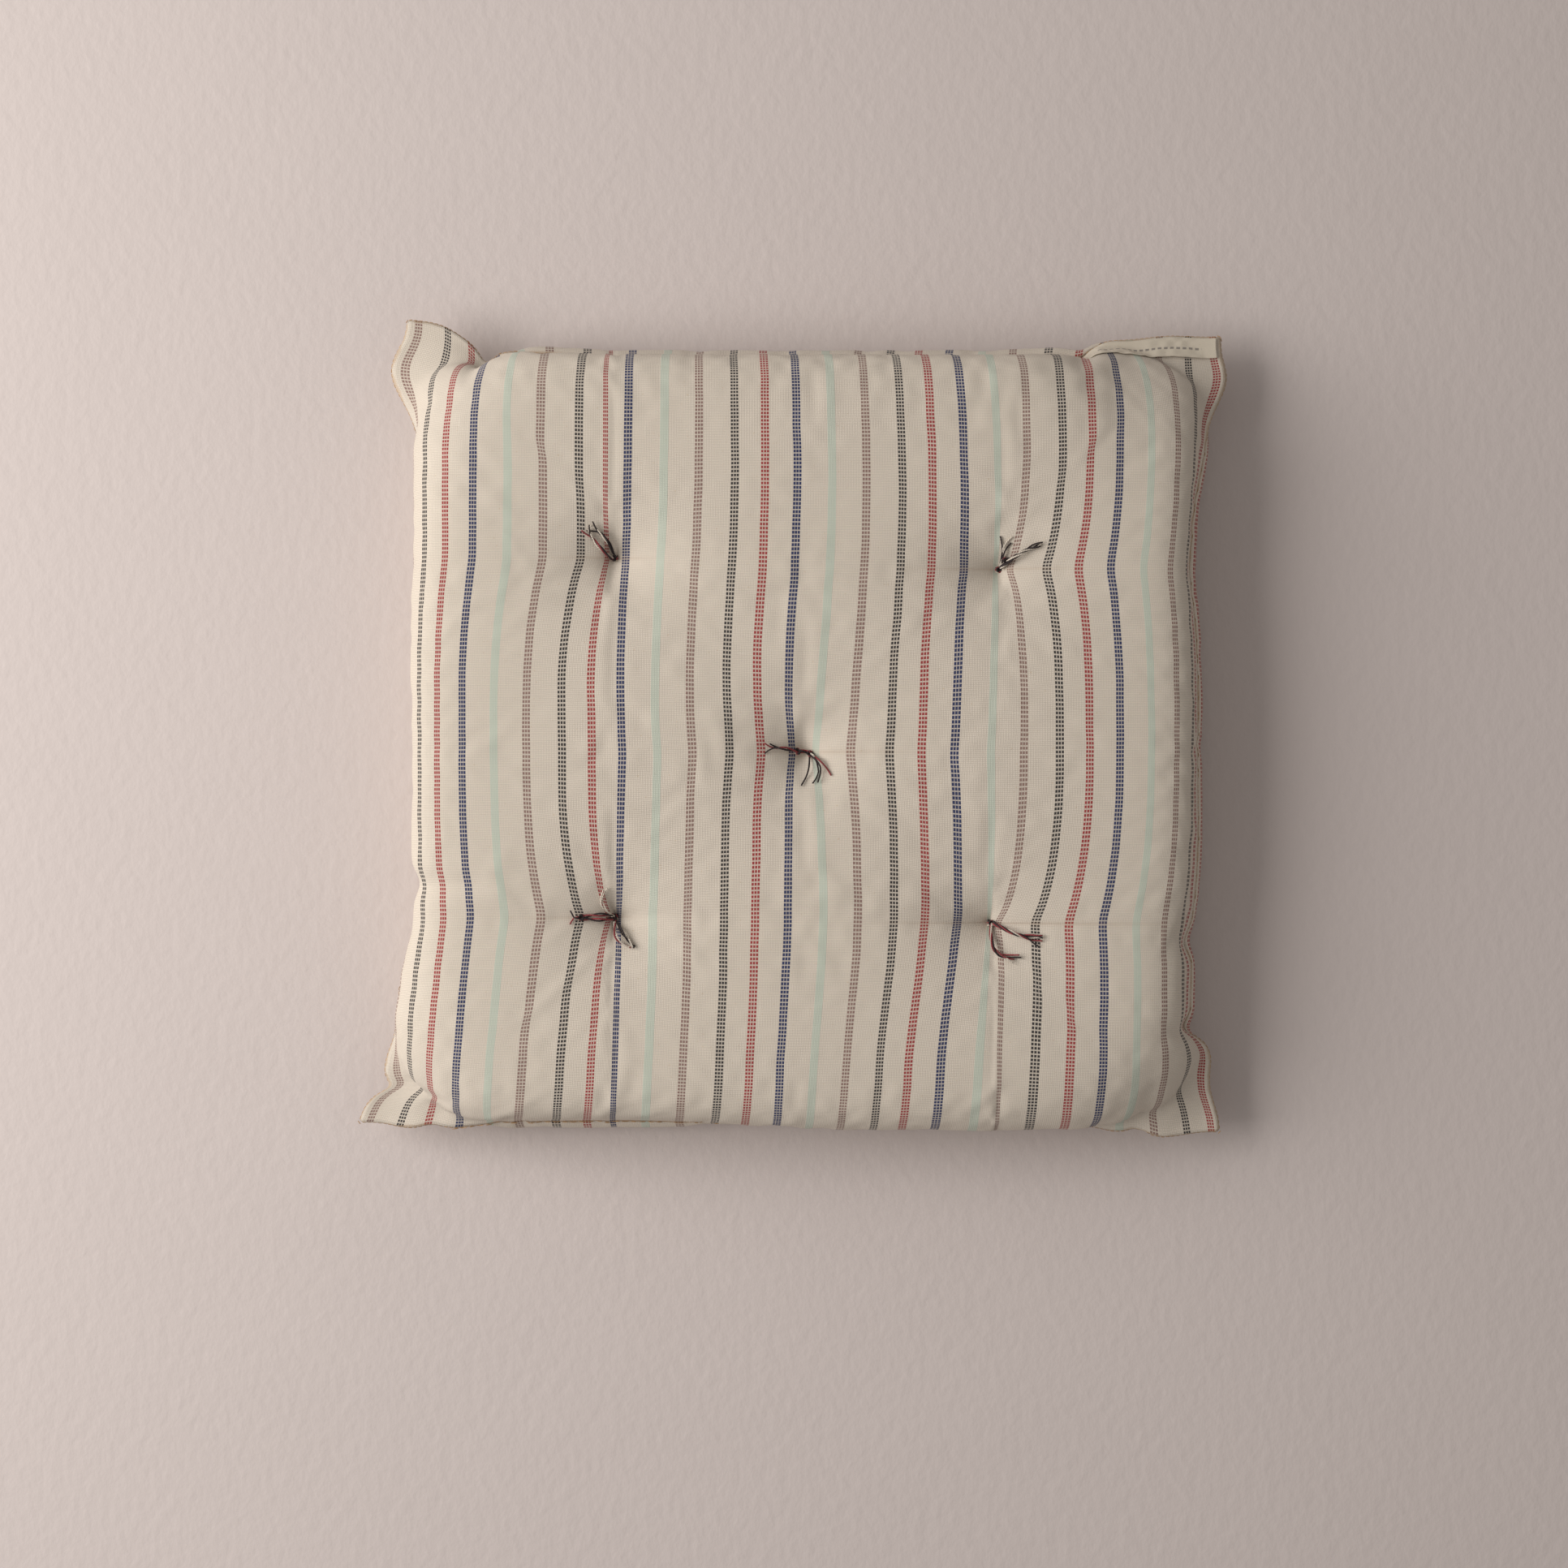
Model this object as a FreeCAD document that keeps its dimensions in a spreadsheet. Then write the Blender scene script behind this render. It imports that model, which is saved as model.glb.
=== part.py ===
"""Tufted floor cushion, as a parametric FreeCAD document in millimetres.

The cushion lies on its back panel: +Z is up, the label is on the +Y edge beside the +X corner, and the
origin is the middle of the flat face that it rests on. Two cloth panels meet in a seam at half height and
close over a filling, and five tufts of yarn pinch the three together. The panels and the filling are built
about the seam plane, and their placements lift them to it.
"""
import FreeCAD, Part
import math
import os

import Sketcher

V = FreeCAD.Vector
UP = V(0, 0, 1)
doc = FreeCAD.newDocument("floor_cushion")

# ---------------------------------------------------------------- driving dimensions
SIZES = {
    "panel_side": 450.0,      # from ear tip to ear tip, along a side
    "edge_pull": 18.5,        # how far the middle of each side is drawn in from the ear tips
    "overall_height": 60.0,
    "edge_round": 24.0,       # width of the rounded shoulder, in plan
    "corner_round": 80.0,     # plan radius of the filled corners, inside the flat ears
    "seam_lip": 0.6,          # how far the seam stands out from the filled sides
    "cloth": 0.8,
    "fill_gap": 0.3,          # between the cloth and the filling
    "seam_thread": 0.5,       # height of the needle and bobbin threads together, between the panels
    "seam_thread_width": 0.4,
    "seam_inset": 0.3,        # from the panels' edge to the seam threads
    "seam_allowance": 10.0,
    "closing_start": 60.0,    # how far the hand-sewn stretch starts beyond the bottom side's straight run
    "closing_length": 120.0,
    "thread_gap": 2.0,        # between the ends of the machine seam and of the closing thread
    "tuft_span": 194.0,       # between the outer tufts, along a side
    "dimple_depth": 16.0,
    "dimple_reach": 44.0,     # plan radius of a dimple where it leaves the flat face
    "yarn": 0.9,              # diameter of one tie yarn
    "yarn_pitch": 1.8,        # between the three yarns of a tuft
    "leg_span": 3.2,          # between the two legs of a yarn
    "yarn_gap": 0.2,          # between a yarn and its hole
    "tail_length": 15.0,
    "tail_bend": 1.2,         # radius of the bend from a leg into its tail
    "tail_rise": 42.0,        # degrees that a tail stands up from level
    "knot_width": 1.3,
    "knot_height": 1.4,
    "label_length": 75.0,
    "label_depth": 10.5,
    "label_cloth": 0.4,
    "label_inset": 3.0,       # from the ear tip to the tape's end
    "label_gap": 0.3,         # least room between the tape and the swollen form
}
# ---------------------------------------------------------------- sizes that follow from them
DERIVED = {
    "half_side": "panel_side / 2",
    "side_mid": "half_side - edge_pull",
    "rim_radius": "(half_side^2 + edge_pull^2) / (2 * edge_pull)",
    "dome_half": "side_mid - seam_lip",
    "half_height": "overall_height / 2",
    "rim_low": "seam_thread / 2",
    "rim_top": "rim_low + cloth",
    "tuft_at": "tuft_span / 2",
    "hole_radius": "yarn / 2 + yarn_gap",
    "seat_radius": "leg_span / 2 + yarn_pitch + hole_radius + cloth",
    "seat_level": "half_height - dimple_depth",
    "dimple_width": "dimple_reach - seat_radius",
    "dimple_arc": "(dimple_width^2 + dimple_depth^2) / (2 * dimple_depth)",
    "label_mid": "half_side - label_inset - label_length / 2",
    "label_start": "label_mid - label_length / 2",
    "label_reach": "max(label_start - (dome_half - corner_round); 0)",
    "form_edge": "dome_half - corner_round + sqrt(corner_round^2 - label_reach^2)",
    "label_slope": "label_mid / rim_radius",
    "label_flat": "sqrt(1 - label_slope^2)",
    "seam_edge": "side_mid + rim_radius * (1 - label_flat)",
    "label_foot": "seam_edge - label_length / 2 * label_slope - label_depth * label_flat",
    "label_edge": "seam_edge + max(form_edge + label_gap - label_foot; 0)",
    "closing_low": "-(dome_half - corner_round) - closing_start",
}
LEGS = [(f"{side} * <leg_span> / 2", f"{place} * <yarn_pitch>") for side in (-1, 1) for place in (-1, 0, 1)]
SHOULDER_TURNS = (0.0, 28.0, 52.0, 72.0, 90.0)  # degrees round the shoulder, from the seam to the flat face
# each tuft's place, in steps of tuft_at along X and Y
TUFTS = {"middle": (0, 0), "top_right": (1, 1), "top_left": (-1, 1), "bottom_left": (-1, -1),
         "bottom_right": (1, -1)}
YARNS = {"cream": -1, "crimson": 0, "black": 1}  # each yarn's place across its tuft, in steps of yarn_pitch
DIMPLE_OVERCUT = 0.2   # lets a dimple's arc cross the flat face instead of only touching it
DIMPLE_HEADROOM = 2.0  # how far a dimple's cutter reaches above the flat face

sheet = doc.addObject("Spreadsheet::Sheet", "Sizes")


def fill_sheet():
    """Writes every size as a number with an alias, then every size that follows as a formula."""
    row = 1
    for name, value in SIZES.items():
        sheet.set(f"A{row}", name)
        sheet.set(f"B{row}", str(value))
        sheet.setAlias(f"B{row}", name)
        row += 1
    doc.recompute()
    for name, formula in DERIVED.items():
        sheet.set(f"A{row}", name)
        sheet.set(f"B{row}", "=" + formula)
        sheet.setAlias(f"B{row}", name)
        doc.recompute()
        row += 1


def linked(formula):
    """A formula with each <size> replaced by a link to its cell."""
    return formula.replace("<", "Sizes.").replace(">", "")


def now(formula):
    """The value that a formula over the sheet has now."""
    return float(sheet.evalExpression(linked(formula)))


# ---------------------------------------------------------------- bodies, sketches and features
def new_body(name):
    body = doc.addObject("PartDesign::Body", name)
    body.Label = name
    return body


def datum(body, role):
    """One of a body's origin planes or axes."""
    return next(item for item in body.Origin.OriginFeatures if item.Role == role)


def new_sketch(body, name, plane="XY_Plane", **offsets):
    """A sketch on one of the body's origin planes, with its origin moved by the formulas x, y and z."""
    sketch = body.newObject("Sketcher::SketchObject", name)
    sketch.AttachmentSupport = [(datum(body, plane), "")]
    sketch.MapMode = "FlatFace"
    for axis, formula in offsets.items():
        sketch.setExpression(f"AttachmentOffset.Base.{axis}", linked(formula))
    return sketch


def relate(sketch, kind, *where):
    sketch.addConstraint(Sketcher.Constraint(kind, *where))


def measure(sketch, formula, kind, *where):
    """A dimension of the sketch, bound to a formula over the sheet."""
    index = sketch.addConstraint(Sketcher.Constraint(kind, *where, now(formula)))
    sketch.setExpression(f"Constraints[{index}]", linked(formula))


def rounded_square(body, name, level, half, radius):
    """A square with rounded corners about the body's upright axis."""
    sketch = new_sketch(body, name, z=level)
    reach, bend = now(half), now(radius)
    straight = reach - bend
    for turn in range(4):
        spin = FreeCAD.Rotation(UP, 90 * turn)
        corners = (V(reach, -straight, 0), V(reach, straight, 0), V(straight, straight, 0))
        start, end, centre = [spin.multVec(corner) for corner in corners]
        first = turn * math.pi / 2
        sketch.addGeometry(Part.LineSegment(start, end), False)
        circle = Part.Circle(centre, UP, bend)
        sketch.addGeometry(Part.ArcOfCircle(circle, first, first + math.pi / 2), False)
    for turn in range(4):
        line, arc, after = 2 * turn, 2 * turn + 1, (2 * turn + 2) % 8
        relate(sketch, "Tangent", line, 2, arc, 1)
        relate(sketch, "Tangent", arc, 2, after, 1)
        relate(sketch, "Horizontal" if turn % 2 else "Vertical", line)
        if turn:
            relate(sketch, "Equal", 1, arc)
    measure(sketch, radius, "Radius", 1)
    measure(sketch, half, "DistanceX", -1, 1, 0, 1)
    measure(sketch, half, "DistanceY", -1, 1, 2, 1)
    measure(sketch, half, "DistanceX", 4, 1, -1, 1)
    measure(sketch, half, "DistanceY", 6, 1, -1, 1)
    return sketch


def panel_outline(sketch, inset):
    """Four arcs from ear tip to ear tip, drawn in at their middles, the formula inset inside the edge."""
    first = sketch.GeometryCount
    tip = f"<half_side> - ({inset})"
    radius = f"(({tip})^2 + <edge_pull>^2) / (2 * <edge_pull>)"
    bend, half_turn = now(radius), math.asin(now(tip) / now(radius))
    for turn in range(4):
        middle = V(now(f"<side_mid> - ({inset})") + bend, 0, 0)
        circle = Part.Circle(FreeCAD.Rotation(UP, 90 * turn).multVec(middle), UP, bend)
        facing = math.pi * (1 + turn / 2)
        sketch.addGeometry(Part.ArcOfCircle(circle, facing - half_turn, facing + half_turn), False)
    for turn, (side_x, side_y) in enumerate(((1, 1), (-1, 1), (-1, -1), (1, -1))):
        arc, after = first + turn, first + (turn + 1) % 4
        relate(sketch, "Coincident", arc, 1, after, 2)
        for kind, side in (("DistanceX", side_x), ("DistanceY", side_y)):
            pair = (-1, 1, arc, 1) if side > 0 else (arc, 1, -1, 1)
            measure(sketch, tip, kind, *pair)
        measure(sketch, radius, "Radius", arc)


def rectangle(sketch, low_x, high_x, low_y, high_y):
    """A rectangle between four formulas, each a side's place on the sketch's own axes."""
    corners = [V(now(x), now(y), 0) for x, y in
               ((low_x, low_y), (high_x, low_y), (high_x, high_y), (low_x, high_y))]
    for number in range(4):
        sketch.addGeometry(Part.LineSegment(corners[number], corners[(number + 1) % 4]), False)
    for number in range(4):
        relate(sketch, "Coincident", number, 2, (number + 1) % 4, 1)
        relate(sketch, "Vertical" if number % 2 else "Horizontal", number)
    place_point(sketch, "DistanceX", low_x, 0, 1)
    place_point(sketch, "DistanceX", high_x, 1, 1)
    place_point(sketch, "DistanceY", low_y, 0, 1)
    place_point(sketch, "DistanceY", high_y, 2, 1)


def place_point(sketch, kind, formula, geometry, end):
    """Sets how far a point lies from the sketch's origin, on either side of it."""
    if now(formula) >= 0:
        measure(sketch, formula, kind, -1, 1, geometry, end)
    else:
        measure(sketch, f"-({formula})", kind, geometry, end, -1, 1)


def pad(body, name, sketch, length):
    feature = body.newObject("PartDesign::Pad", name)
    feature.Profile = sketch
    feature.setExpression("Length", linked(length))
    doc.recompute()
    return feature


def pocket_up(body, name, sketch, length):
    """A pocket cut upwards from its sketch."""
    before = body.Shape.Volume
    feature = body.newObject("PartDesign::Pocket", name)
    feature.Profile = sketch
    feature.Reversed = True
    feature.setExpression("Length", linked(length))
    doc.recompute()
    if body.Shape.Volume >= before:
        raise RuntimeError(f"{name} removed nothing")
    return feature


def four_round(body, name, feature):
    """Repeats a feature four times round the cushion's upright axis."""
    pattern = body.newObject("PartDesign::PolarPattern", name)
    pattern.Originals = [feature]
    pattern.Axis = (datum(body, "Z_Axis"), [""])
    pattern.Angle = 360
    pattern.Occurrences = 4
    body.Tip = pattern
    doc.recompute()
    return pattern


# ---------------------------------------------------------------- the swollen half of the cushion
def dome(body, base, grow):
    """Half of the swollen form: a loft from the formula base up over the shoulder, moved outwards by grow."""
    sections = []
    for number, degrees in enumerate(SHOULDER_TURNS):
        up = f"{math.sin(math.radians(degrees)):.6f}"
        inward = f"<edge_round> * {1 - math.cos(math.radians(degrees)):.6f}"
        sections.append(rounded_square(
            body, f"{body.Name}_section{number}",
            f"{base} + (<half_height> + ({grow}) - ({base})) * {up}",
            f"<dome_half> + ({grow}) - {inward}",
            f"<corner_round> + ({grow}) - {inward}"))
    doc.recompute()
    loft = body.newObject("PartDesign::AdditiveLoft", f"{body.Name}_dome")
    loft.Profile = sections[0]
    loft.Sections = sections[1:]
    doc.recompute()
    return loft


def dimple(body, name, grow, **offsets):
    """One dimple turned out of the flat face: a flat seat, then an arc that rises to the face."""
    sketch = new_sketch(body, f"{name}_profile", "XZ_Plane", **offsets)
    rise = f"{DIMPLE_OVERCUT} + (<half_height> - <dimple_arc>)"
    radius = f"<dimple_arc> + ({grow})"
    seat = f"<seat_level> + ({grow})"
    reach, centre, bend, bottom = now("<dimple_reach>"), now(rise), now(radius), now(seat)
    top = now(f"<half_height> + {DIMPLE_HEADROOM}")
    first = math.pi - math.asin((bottom - centre) / bend)
    seat_end = V(reach + bend * math.cos(first), bottom, 0)
    arc_top = V(reach, centre + bend, 0)
    points = [V(0, bottom, 0), seat_end, arc_top, V(reach, top, 0), V(0, top, 0)]
    sketch.addGeometry(Part.LineSegment(points[0], points[1]), False)
    arc = Part.ArcOfCircle(Part.Circle(V(reach, centre, 0), UP, bend), math.pi / 2, first)
    sketch.addGeometry(arc, False)
    sketch.addGeometry(Part.LineSegment(points[2], points[3]), False)
    sketch.addGeometry(Part.LineSegment(points[3], points[4]), False)
    sketch.addGeometry(Part.LineSegment(points[4], points[0]), False)
    relate(sketch, "Coincident", 0, 2, 1, 2)
    relate(sketch, "Coincident", 1, 1, 2, 1)
    relate(sketch, "Coincident", 2, 2, 3, 1)
    relate(sketch, "Coincident", 3, 2, 4, 1)
    relate(sketch, "Coincident", 4, 2, 0, 1)
    relate(sketch, "Horizontal", 0)
    relate(sketch, "Vertical", 2)
    relate(sketch, "Horizontal", 3)
    relate(sketch, "PointOnObject", 0, 1, -2)
    relate(sketch, "PointOnObject", 3, 2, -2)
    measure(sketch, "<dimple_reach>", "DistanceX", -1, 1, 1, 3)
    measure(sketch, "<dimple_reach>", "DistanceX", -1, 1, 1, 1)
    place_point(sketch, "DistanceY", rise, 1, 3)
    measure(sketch, radius, "Radius", 1)
    measure(sketch, seat, "DistanceY", -1, 1, 0, 1)
    measure(sketch, f"<half_height> + {DIMPLE_HEADROOM}", "DistanceY", -1, 1, 3, 1)
    doc.recompute()
    before = body.Shape.Volume
    groove = body.newObject("PartDesign::Groove", name)
    groove.Profile = sketch
    groove.ReferenceAxis = (sketch, ["V_Axis"])
    groove.Angle = 360
    doc.recompute()
    if body.Shape.Volume >= before:
        raise RuntimeError(f"{name} removed nothing")
    return groove


def dimples(body, grow):
    """The middle dimple, and the four round it."""
    dimple(body, f"{body.Name}_middle_dimple", grow)
    outer = dimple(body, f"{body.Name}_outer_dimple", grow, x="<tuft_at>", z="-<tuft_at>")
    four_round(body, f"{body.Name}_outer_dimples", outer)


def through_tufts(body, name, places, radius):
    """Cuts round holes through the body at each tuft, at places about the tuft's axis, pairs of formulas."""
    sketch = new_sketch(body, f"{name}_sketch")
    for tuft_x, tuft_y in TUFTS.values():
        for place_x, place_y in places:
            x, y = f"{tuft_x} * <tuft_at> + {place_x}", f"{tuft_y} * <tuft_at> + {place_y}"
            hole = sketch.addGeometry(Part.Circle(V(now(x), now(y), 0), UP, now(radius)), False)
            place_point(sketch, "DistanceX", x, hole, 3)
            place_point(sketch, "DistanceY", y, hole, 3)
            measure(sketch, radius, "Radius", hole)
    doc.recompute()
    return pocket_up(body, name, sketch, "<half_height>")


# ---------------------------------------------------------------- the two cloth panels
def lift(item, turned_over=False):
    """Lifts an item from the seam plane of the origin to the cushion's own, turned over for the back."""
    item.Placement = FreeCAD.Placement(V(0, 0, 0), FreeCAD.Rotation(V(0, 1, 0), 180 if turned_over else 0))
    item.setExpression("Placement.Base.z", linked("<half_height>"))


def panel(name, turned_over):
    """One cloth panel: the swollen skin, the flat ears, the seam allowance turned in and the needle holes."""
    skin = new_body(f"{name}_outside")
    flat = new_sketch(skin, f"{name}_flat_outline", z="<rim_low>")
    panel_outline(flat, "0")
    doc.recompute()
    pad(skin, f"{name}_flat", flat, "<cloth>")
    dome(skin, "<rim_low>", "0")
    dimples(skin, "0")
    mouth = rounded_square(skin, f"{name}_mouth_outline", "<rim_low>",
                           "<dome_half> - <seam_allowance>", "<corner_round> - <seam_allowance>")
    doc.recompute()
    pocket_up(skin, f"{name}_mouth", mouth, "<cloth>")
    through_tufts(skin, f"{name}_needle_holes", LEGS, "<hole_radius>")
    inside = new_body(f"{name}_inside")
    dome(inside, "<rim_top>", "-<cloth>")
    dimples(inside, "-<cloth>")
    for body in (skin, inside):
        lift(body, turned_over)
    doc.recompute()
    cut = doc.addObject("Part::Cut", name)
    cut.Label = name
    cut.Base = skin
    cut.Tool = inside
    doc.recompute()
    return cut


# ---------------------------------------------------------------- the filling
def filling():
    """One pad of fibre: two mirrored halves with their dimples, and a channel for the yarns of each tuft."""
    half = new_body("filling_half")
    waist_top = "<rim_top> + <fill_gap>"
    waist = rounded_square(half, "filling_waist_outline", "0",
                           "<dome_half> - <seam_allowance> - <fill_gap>",
                           "<corner_round> - <seam_allowance> - <fill_gap>")
    doc.recompute()
    pad(half, "filling_waist", waist, waist_top)
    dome(half, waist_top, "-<cloth> - <fill_gap>")
    dimples(half, "-<cloth> - <fill_gap>")
    through_tufts(half, "filling_channels", [("0", "0")], "<seat_radius>")
    other = doc.addObject("Part::Mirroring", "filling_other_half")
    other.Source = half
    other.Normal = UP
    doc.recompute()
    whole = doc.addObject("Part::MultiFuse", "filling")
    whole.Label = "filling"
    whole.Shapes = [half, other]
    whole.Refine = True
    lift(whole)
    doc.recompute()
    return whole


# ---------------------------------------------------------------- the seam
def thread_ring(name, base, height):
    """A flat ring that follows the panels' edge, from the formula base up by the formula height."""
    body = new_body(name)
    sketch = new_sketch(body, f"{name}_outline", z=base)
    panel_outline(sketch, "<seam_inset>")
    panel_outline(sketch, "<seam_inset> + <seam_thread_width>")
    doc.recompute()
    pad(body, f"{name}_ring", sketch, height)
    return body


def bottom_stretch(body, name, low, high, base):
    """A sketch that covers the bottom seam between two formulas."""
    sketch = new_sketch(body, name, z=base)
    rectangle(sketch, low, high, "-<half_side>", "-<side_mid> + <seam_allowance>")
    doc.recompute()
    return sketch


def machine_thread(name, base):
    """One of the two threads of the machine seam, open where the casing was turned and filled."""
    body = thread_ring(name, base, "<seam_thread> / 2")
    opening = bottom_stretch(body, f"{name}_opening_outline", "<closing_low>",
                             "<closing_low> + <closing_length>", base)
    pocket_up(body, f"{name}_opening", opening, "<seam_thread> / 2")
    lift(body)
    return body


def closing_thread():
    """The hand-sewn thread that closes the opening."""
    ring = thread_ring("closing_ring", "-<seam_thread> / 2", "<seam_thread>")
    reach = doc.addObject("Part::Box", "closing_reach")
    reach.setExpression("Length", linked("<closing_length> - 2 * <thread_gap>"))
    reach.setExpression("Width", linked("<edge_pull> + <seam_allowance>"))
    reach.setExpression("Height", linked("<seam_thread>"))
    reach.setExpression("Placement.Base.x", linked("<closing_low> + <thread_gap>"))
    reach.setExpression("Placement.Base.y", linked("-<half_side>"))
    reach.setExpression("Placement.Base.z", linked("<half_height> - <seam_thread> / 2"))
    lift(ring)
    doc.recompute()
    thread = doc.addObject("Part::Common", "closing_thread")
    thread.Label = "closing_thread"
    thread.Base = ring
    thread.Tool = reach
    doc.recompute()
    return thread


# ---------------------------------------------------------------- the label
def label_tape():
    """A blank cotton tape that lies flat on the ear, with its upper edge along the seam."""
    body = new_body("label_tape")
    sketch = new_sketch(body, "label_outline")
    rectangle(sketch, "-<label_length> / 2", "<label_length> / 2", "-<label_depth>", "0")
    doc.recompute()
    pad(body, "label_strip", sketch, "<label_cloth>")
    body.Placement = FreeCAD.Placement(V(0, 0, 0), FreeCAD.Rotation(UP, 1))
    body.setExpression("Placement.Base.x", linked("<label_mid>"))
    body.setExpression("Placement.Base.y", linked("<label_edge>"))
    body.setExpression("Placement.Base.z", linked("<half_height> + <rim_top>"))
    body.setExpression("Placement.Rotation.Angle", linked("asin(<label_slope>)"))
    return body


# ---------------------------------------------------------------- the tufts' yarns
def tie(name, tuft, place):
    """One yarn: down one hole, across the back, up the other, tied in a knot with two loose tails."""
    body = new_body(name)
    path = new_sketch(body, f"{name}_path", "XZ_Plane")
    bottom, leg = "<seat_level> + <yarn_gap>", "<leg_span> / 2"
    top = "<seat_level> + <yarn_gap> + <knot_height>"
    rise = math.radians(now("<tail_rise>"))
    bend = now("<tail_bend>")
    foot, head = V(now(leg), -now(bottom), 0), V(now(leg), now(top), 0)
    bend_centre = head + V(bend, 0, 0)
    tail_start = bend_centre + V(math.cos(math.pi / 2 + rise), math.sin(math.pi / 2 + rise), 0) * bend
    tail_end = tail_start + V(math.cos(rise), math.sin(rise), 0) * now("<tail_length>")
    across = Part.Circle(V(0, -now(bottom), 0), UP, now(leg))
    path.addGeometry(Part.ArcOfCircle(across, 1.5 * math.pi, 2 * math.pi), False)
    path.addGeometry(Part.LineSegment(foot, head), False)
    turn = Part.ArcOfCircle(Part.Circle(bend_centre, UP, bend), math.pi / 2 + rise, math.pi)
    path.addGeometry(turn, False)
    path.addGeometry(Part.LineSegment(tail_start, tail_end), False)
    relate(path, "PointOnObject", 0, 3, -2)
    relate(path, "PointOnObject", 0, 1, -2)
    relate(path, "Tangent", 0, 2, 1, 1)
    relate(path, "Vertical", 1)
    relate(path, "Tangent", 1, 2, 2, 2)
    relate(path, "Tangent", 2, 1, 3, 1)
    measure(path, leg, "Radius", 0)
    measure(path, bottom, "DistanceY", 0, 3, -1, 1)
    measure(path, top, "DistanceY", -1, 1, 1, 2)
    measure(path, "<tail_bend>", "Radius", 2)
    measure(path, "<tail_length>", "Distance", 3)
    angle = path.addConstraint(Sketcher.Constraint("Angle", 3, rise))
    path.setExpression(f"Constraints[{angle}]", linked("<tail_rise> * 1 deg"))
    section = new_sketch(body, f"{name}_section", "YZ_Plane")
    lowest = V(0, -now(f"{bottom} + {leg}"), 0)
    circle = section.addGeometry(Part.Circle(lowest, UP, now("<yarn> / 2")), False)
    relate(section, "PointOnObject", circle, 3, -2)
    measure(section, f"{bottom} + {leg}", "DistanceY", circle, 3, -1, 1)
    measure(section, "<yarn> / 2", "Radius", circle)
    doc.recompute()
    sweep = body.newObject("PartDesign::AdditivePipe", f"{name}_half")
    sweep.Profile = section
    sweep.Spine = (path, [f"Edge{number}" for number in range(1, 5)])
    doc.recompute()
    both = body.newObject("PartDesign::Mirrored", f"{name}_both")
    both.Originals = [sweep]
    both.MirrorPlane = (datum(body, "YZ_Plane"), [""])
    body.Tip = both
    doc.recompute()
    knot = new_sketch(body, f"{name}_knot_outline", z="<seat_level> + <yarn_gap>")
    reach = f"{leg} + <knot_width> / 2"
    rectangle(knot, f"-({reach})", reach, "-<knot_width> / 2", "<knot_width> / 2")
    doc.recompute()
    pad(body, f"{name}_knot", knot, "<knot_height>")
    tuft_x, tuft_y = TUFTS[tuft]
    body.setExpression("Placement.Base.x", linked(f"{tuft_x} * <tuft_at>"))
    body.setExpression("Placement.Base.y", linked(f"{tuft_y} * <tuft_at> + {place} * <yarn_pitch>"))
    body.setExpression("Placement.Base.z", linked("<half_height>"))
    return body


# ---------------------------------------------------------------- the whole cushion
fill_sheet()
pieces = [panel("front_panel", False), panel("back_panel", True), filling(), label_tape()]
pieces.append(machine_thread("seam_needle_thread", "0"))
pieces.append(machine_thread("seam_bobbin_thread", "-<seam_thread> / 2"))
pieces.append(closing_thread())
pieces += [tie(f"{tuft}_tie_{colour}", tuft, place) for tuft in TUFTS for colour, place in YARNS.items()]
doc.recompute()

for item in doc.Objects:
    if {"Invalid", "Error"} & set(item.State):
        raise RuntimeError(f"{item.Label} did not build: {item.State}")
os.makedirs("parts", exist_ok=True)
for piece in pieces:
    shape = piece.Shape
    if shape.isNull() or not shape.isValid() or len(shape.Solids) != 1:
        raise RuntimeError(f"{piece.Label} is not one valid solid")
for piece in pieces:
    piece.Shape.exportStep(f"parts/{piece.Label}.step")
    box = piece.Shape.BoundBox
    print(f"{piece.Label}: {piece.Shape.Volume:.1f} mm3, z {box.ZMin:.2f} to {box.ZMax:.2f}")
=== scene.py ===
"""Square floor cushion in striped cotton: casing, fibre filling, tape label and five ties."""

import math

import bpy
import numpy as np
from bpy.props import FloatProperty, FloatVectorProperty, IntProperty, PointerProperty
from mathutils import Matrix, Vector
from mathutils.bvhtree import BVHTree


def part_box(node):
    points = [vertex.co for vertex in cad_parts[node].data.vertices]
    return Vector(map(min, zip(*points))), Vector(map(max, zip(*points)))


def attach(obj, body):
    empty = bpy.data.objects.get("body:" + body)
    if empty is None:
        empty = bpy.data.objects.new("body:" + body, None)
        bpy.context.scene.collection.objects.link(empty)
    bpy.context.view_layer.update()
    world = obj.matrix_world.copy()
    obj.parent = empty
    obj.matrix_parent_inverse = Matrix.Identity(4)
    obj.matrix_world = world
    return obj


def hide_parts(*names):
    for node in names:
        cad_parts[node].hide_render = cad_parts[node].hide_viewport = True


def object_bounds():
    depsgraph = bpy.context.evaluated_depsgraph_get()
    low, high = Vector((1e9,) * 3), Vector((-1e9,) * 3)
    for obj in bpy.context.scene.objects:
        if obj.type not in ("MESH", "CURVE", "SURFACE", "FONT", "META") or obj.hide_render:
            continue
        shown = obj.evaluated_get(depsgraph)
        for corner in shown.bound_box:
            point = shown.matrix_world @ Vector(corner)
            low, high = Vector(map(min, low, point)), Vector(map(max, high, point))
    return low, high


bl_info = {
    "name": "Striped Floor Cushion",
    "version": (1, 0, 0),
    "blender": (4, 5, 0),
    "location": "View3D > Sidebar > Cushion",
    "description": "Makes a tufted floor cushion in striped cotton with its stage",
    "category": "Object",
}

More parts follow.
